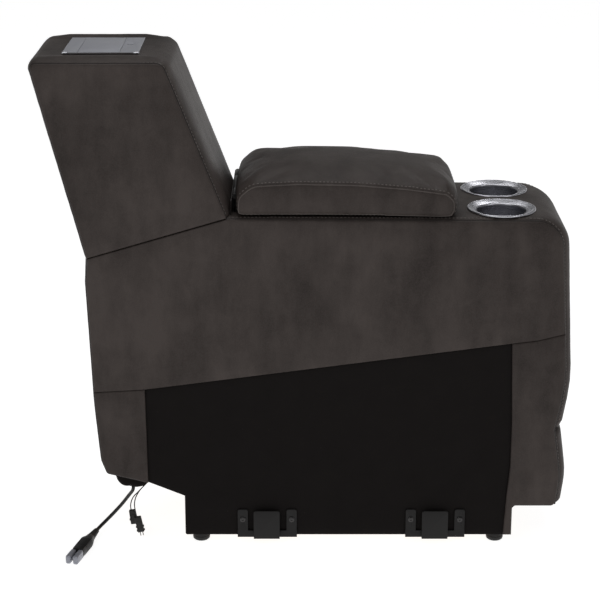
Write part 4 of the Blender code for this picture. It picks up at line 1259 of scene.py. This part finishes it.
socketLow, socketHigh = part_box("hub_socket_block")
socketBlock = blockPiece("hubSockets", socketLow, socketHigh, 0.0008, 2)
middleX = (socketLow.x + socketHigh.x) / 2
for y in hub["sockets"]:
    dish = blockPiece("dish", (middleX - 0.016, y - 0.018, socketHigh.z - 0.0022),
                      (middleX + 0.016, y + 0.018, socketHigh.z + 0.01), 0.0019, 2)
    cutWith(socketBlock, dish)
    for offset in (-0.0063, 0.0063):
        start = (middleX - 0.0005, y + offset - 0.0011, socketHigh.z - 0.009)
        stop = (middleX + 0.0075, y + offset + 0.0011, socketHigh.z + 0.01)
        cutWith(socketBlock, blockPiece("slotHole", start, stop))
    deselect()
    bpy.ops.mesh.primitive_cylinder_add(vertices=20, radius=0.0026, depth=0.02,
                                        location=(middleX - 0.0075, y, socketHigh.z + 0.001))
    cutWith(socketBlock, bpy.context.object)
for x in (middleX - 0.010, middleX + 0.005):
    port = blockPiece("portHole", (x, -0.0068, socketHigh.z - 0.008),
                      (x + 0.005, 0.0068, socketHigh.z + 0.01))
    cutWith(socketBlock, port)
dress(socketBlock, "back", blackPlastic, ["hub_socket_block"], 30)
print("power hub made")

# storage bin, hinge, receivers and blades
for node, name, width, rides, finish, kind in (
    ("storage_bin", "storageBin", 0.0012, "root", binCloth, "bin_lining"),
    ("lid_hinge_base", "lidHingeBase", 0.0003, "root", bracketSteel, "black_steel"),
    ("lid_hinge_leaf", "lidHingeLeaf", 0.0003, "lid", bracketSteel, "black_steel"),
    ("back_receiver_near", "backReceiverNear", 0.0005, "root", bracketSteel, "black_steel"),
    ("back_receiver_far", "backReceiverFar", 0.0005, "root", bracketSteel, "black_steel"),
    ("back_blade_near", "backBladeNear", 0.0005, "back", brightSteel, "bright_steel"),
    ("back_blade_far", "backBladeFar", 0.0005, "back", brightSteel, "bright_steel"),
):
    dress(softened(node, name, width, 2), rides, finish, [node], 35)

# cord pouch
pouchLook = wrapped(0.012, 0.0, 0.0, across=0.005, step=0.004)
pouch = leatherWrap(
    "cordPouch",
    [(-0.3830, 0.1492), (-0.3040, 0.1300), (-0.3030, 0.1255, 0.006), (-0.3220, 0.1040, 0.016),
     (-0.3700, 0.1060, 0.024)],
    [], 0.049, pouchLook, True, 5.0)
pouchShift = Vector((0, -0.059, 0))
for corner in pouch.data.vertices:
    fold = 0.0007 * math.sin(corner.co.x * 260 + corner.co.y * 190)
    fold += 0.0012 * noise.noise(corner.co * 60)
    slack = min(1.0, max(0.0, (0.138 - corner.co.z) / 0.02))
    corner.co += Vector((0, 0, fold * slack)) + pouchShift
dress(pouch, "root", liningCloth, ["cord_pouch"])
print("pouch made")

# floor and soft studio light
studio = {"size": 80, "glow": 0.90, "horizon": 1.0, "zenith": 0.20}
deselect()
bpy.ops.mesh.primitive_plane_add(size=studio["size"], location=(0, 0, -0.0002))
floor = bpy.context.object
floor.name = "studioFloor"
floorFinish = Finish("studioFloorPaint", Roughness=0.8, Specular_IOR_Level=0.1,
                     Emission_Color=(1, 1, 1, 1), Emission_Strength=studio["glow"])
floorMarks = floorFinish.clouds(3.0, 2.0)
floor.data.materials.append(floorFinish.feed(
    Base_Color=floorFinish.blended(floorMarks, (0.42, 0.42, 0.42, 1), (0.44, 0.44, 0.44, 1))))
world = bpy.data.worlds.new("studioWorld")
world.use_nodes = True
sky = world.node_tree
skyPlace = sky.nodes.new("ShaderNodeTexCoord")
skyParts = sky.nodes.new("ShaderNodeSeparateXYZ")
skyRamp = sky.nodes.new("ShaderNodeMapRange")
skyRamp.inputs["From Min"].default_value = 0.0
skyRamp.inputs["From Max"].default_value = 0.18
skyRamp.inputs["To Min"].default_value = studio["horizon"]
skyRamp.inputs["To Max"].default_value = studio["zenith"]
sky.links.new(skyPlace.outputs["Generated"], skyParts.inputs[0])
sky.links.new(skyParts.outputs["Z"], skyRamp.inputs["Value"])
sky.links.new(skyRamp.outputs[0], sky.nodes["Background"].inputs["Strength"])
sky.nodes["Background"].inputs["Color"].default_value = (1, 1, 1, 1)
bpy.context.scene.world = world


def softbox(name, place, aim, size, power):
    direction = Vector(aim) - Vector(place)
    bpy.ops.object.light_add(type="AREA", location=place,
                             rotation=direction.to_track_quat("-Z", "Y").to_euler())
    lamp = bpy.context.object
    lamp.name = name
    lamp.data.shape = "RECTANGLE"
    lamp.data.size = size[0]
    lamp.data.size_y = size[1]
    lamp.data.energy = power
    return lamp


softbox("keyLight", (-1.6, -2.6, 2.6), (0, 0, 0.5), (1.8, 1.4), 18)
softbox("frontLight", (2.4, -2.0, 2.1), (0, 0, 0.6), (0.9, 0.9), 12)
softbox("cupLightLeft", (1.0, 2.3, 2.46), (0.37, 0, 0.67), (0.36, 0.36), 3.0)
softbox("cupLightRight", (0.28, 2.37, 2.5), (0.37, 0, 0.67), (0.24, 0.24), 1.1)
softbox("topLight", (0.2, 0.6, 3.2), (0, 0, 0.5), (2.0, 1.2), 28)
print("lights set")
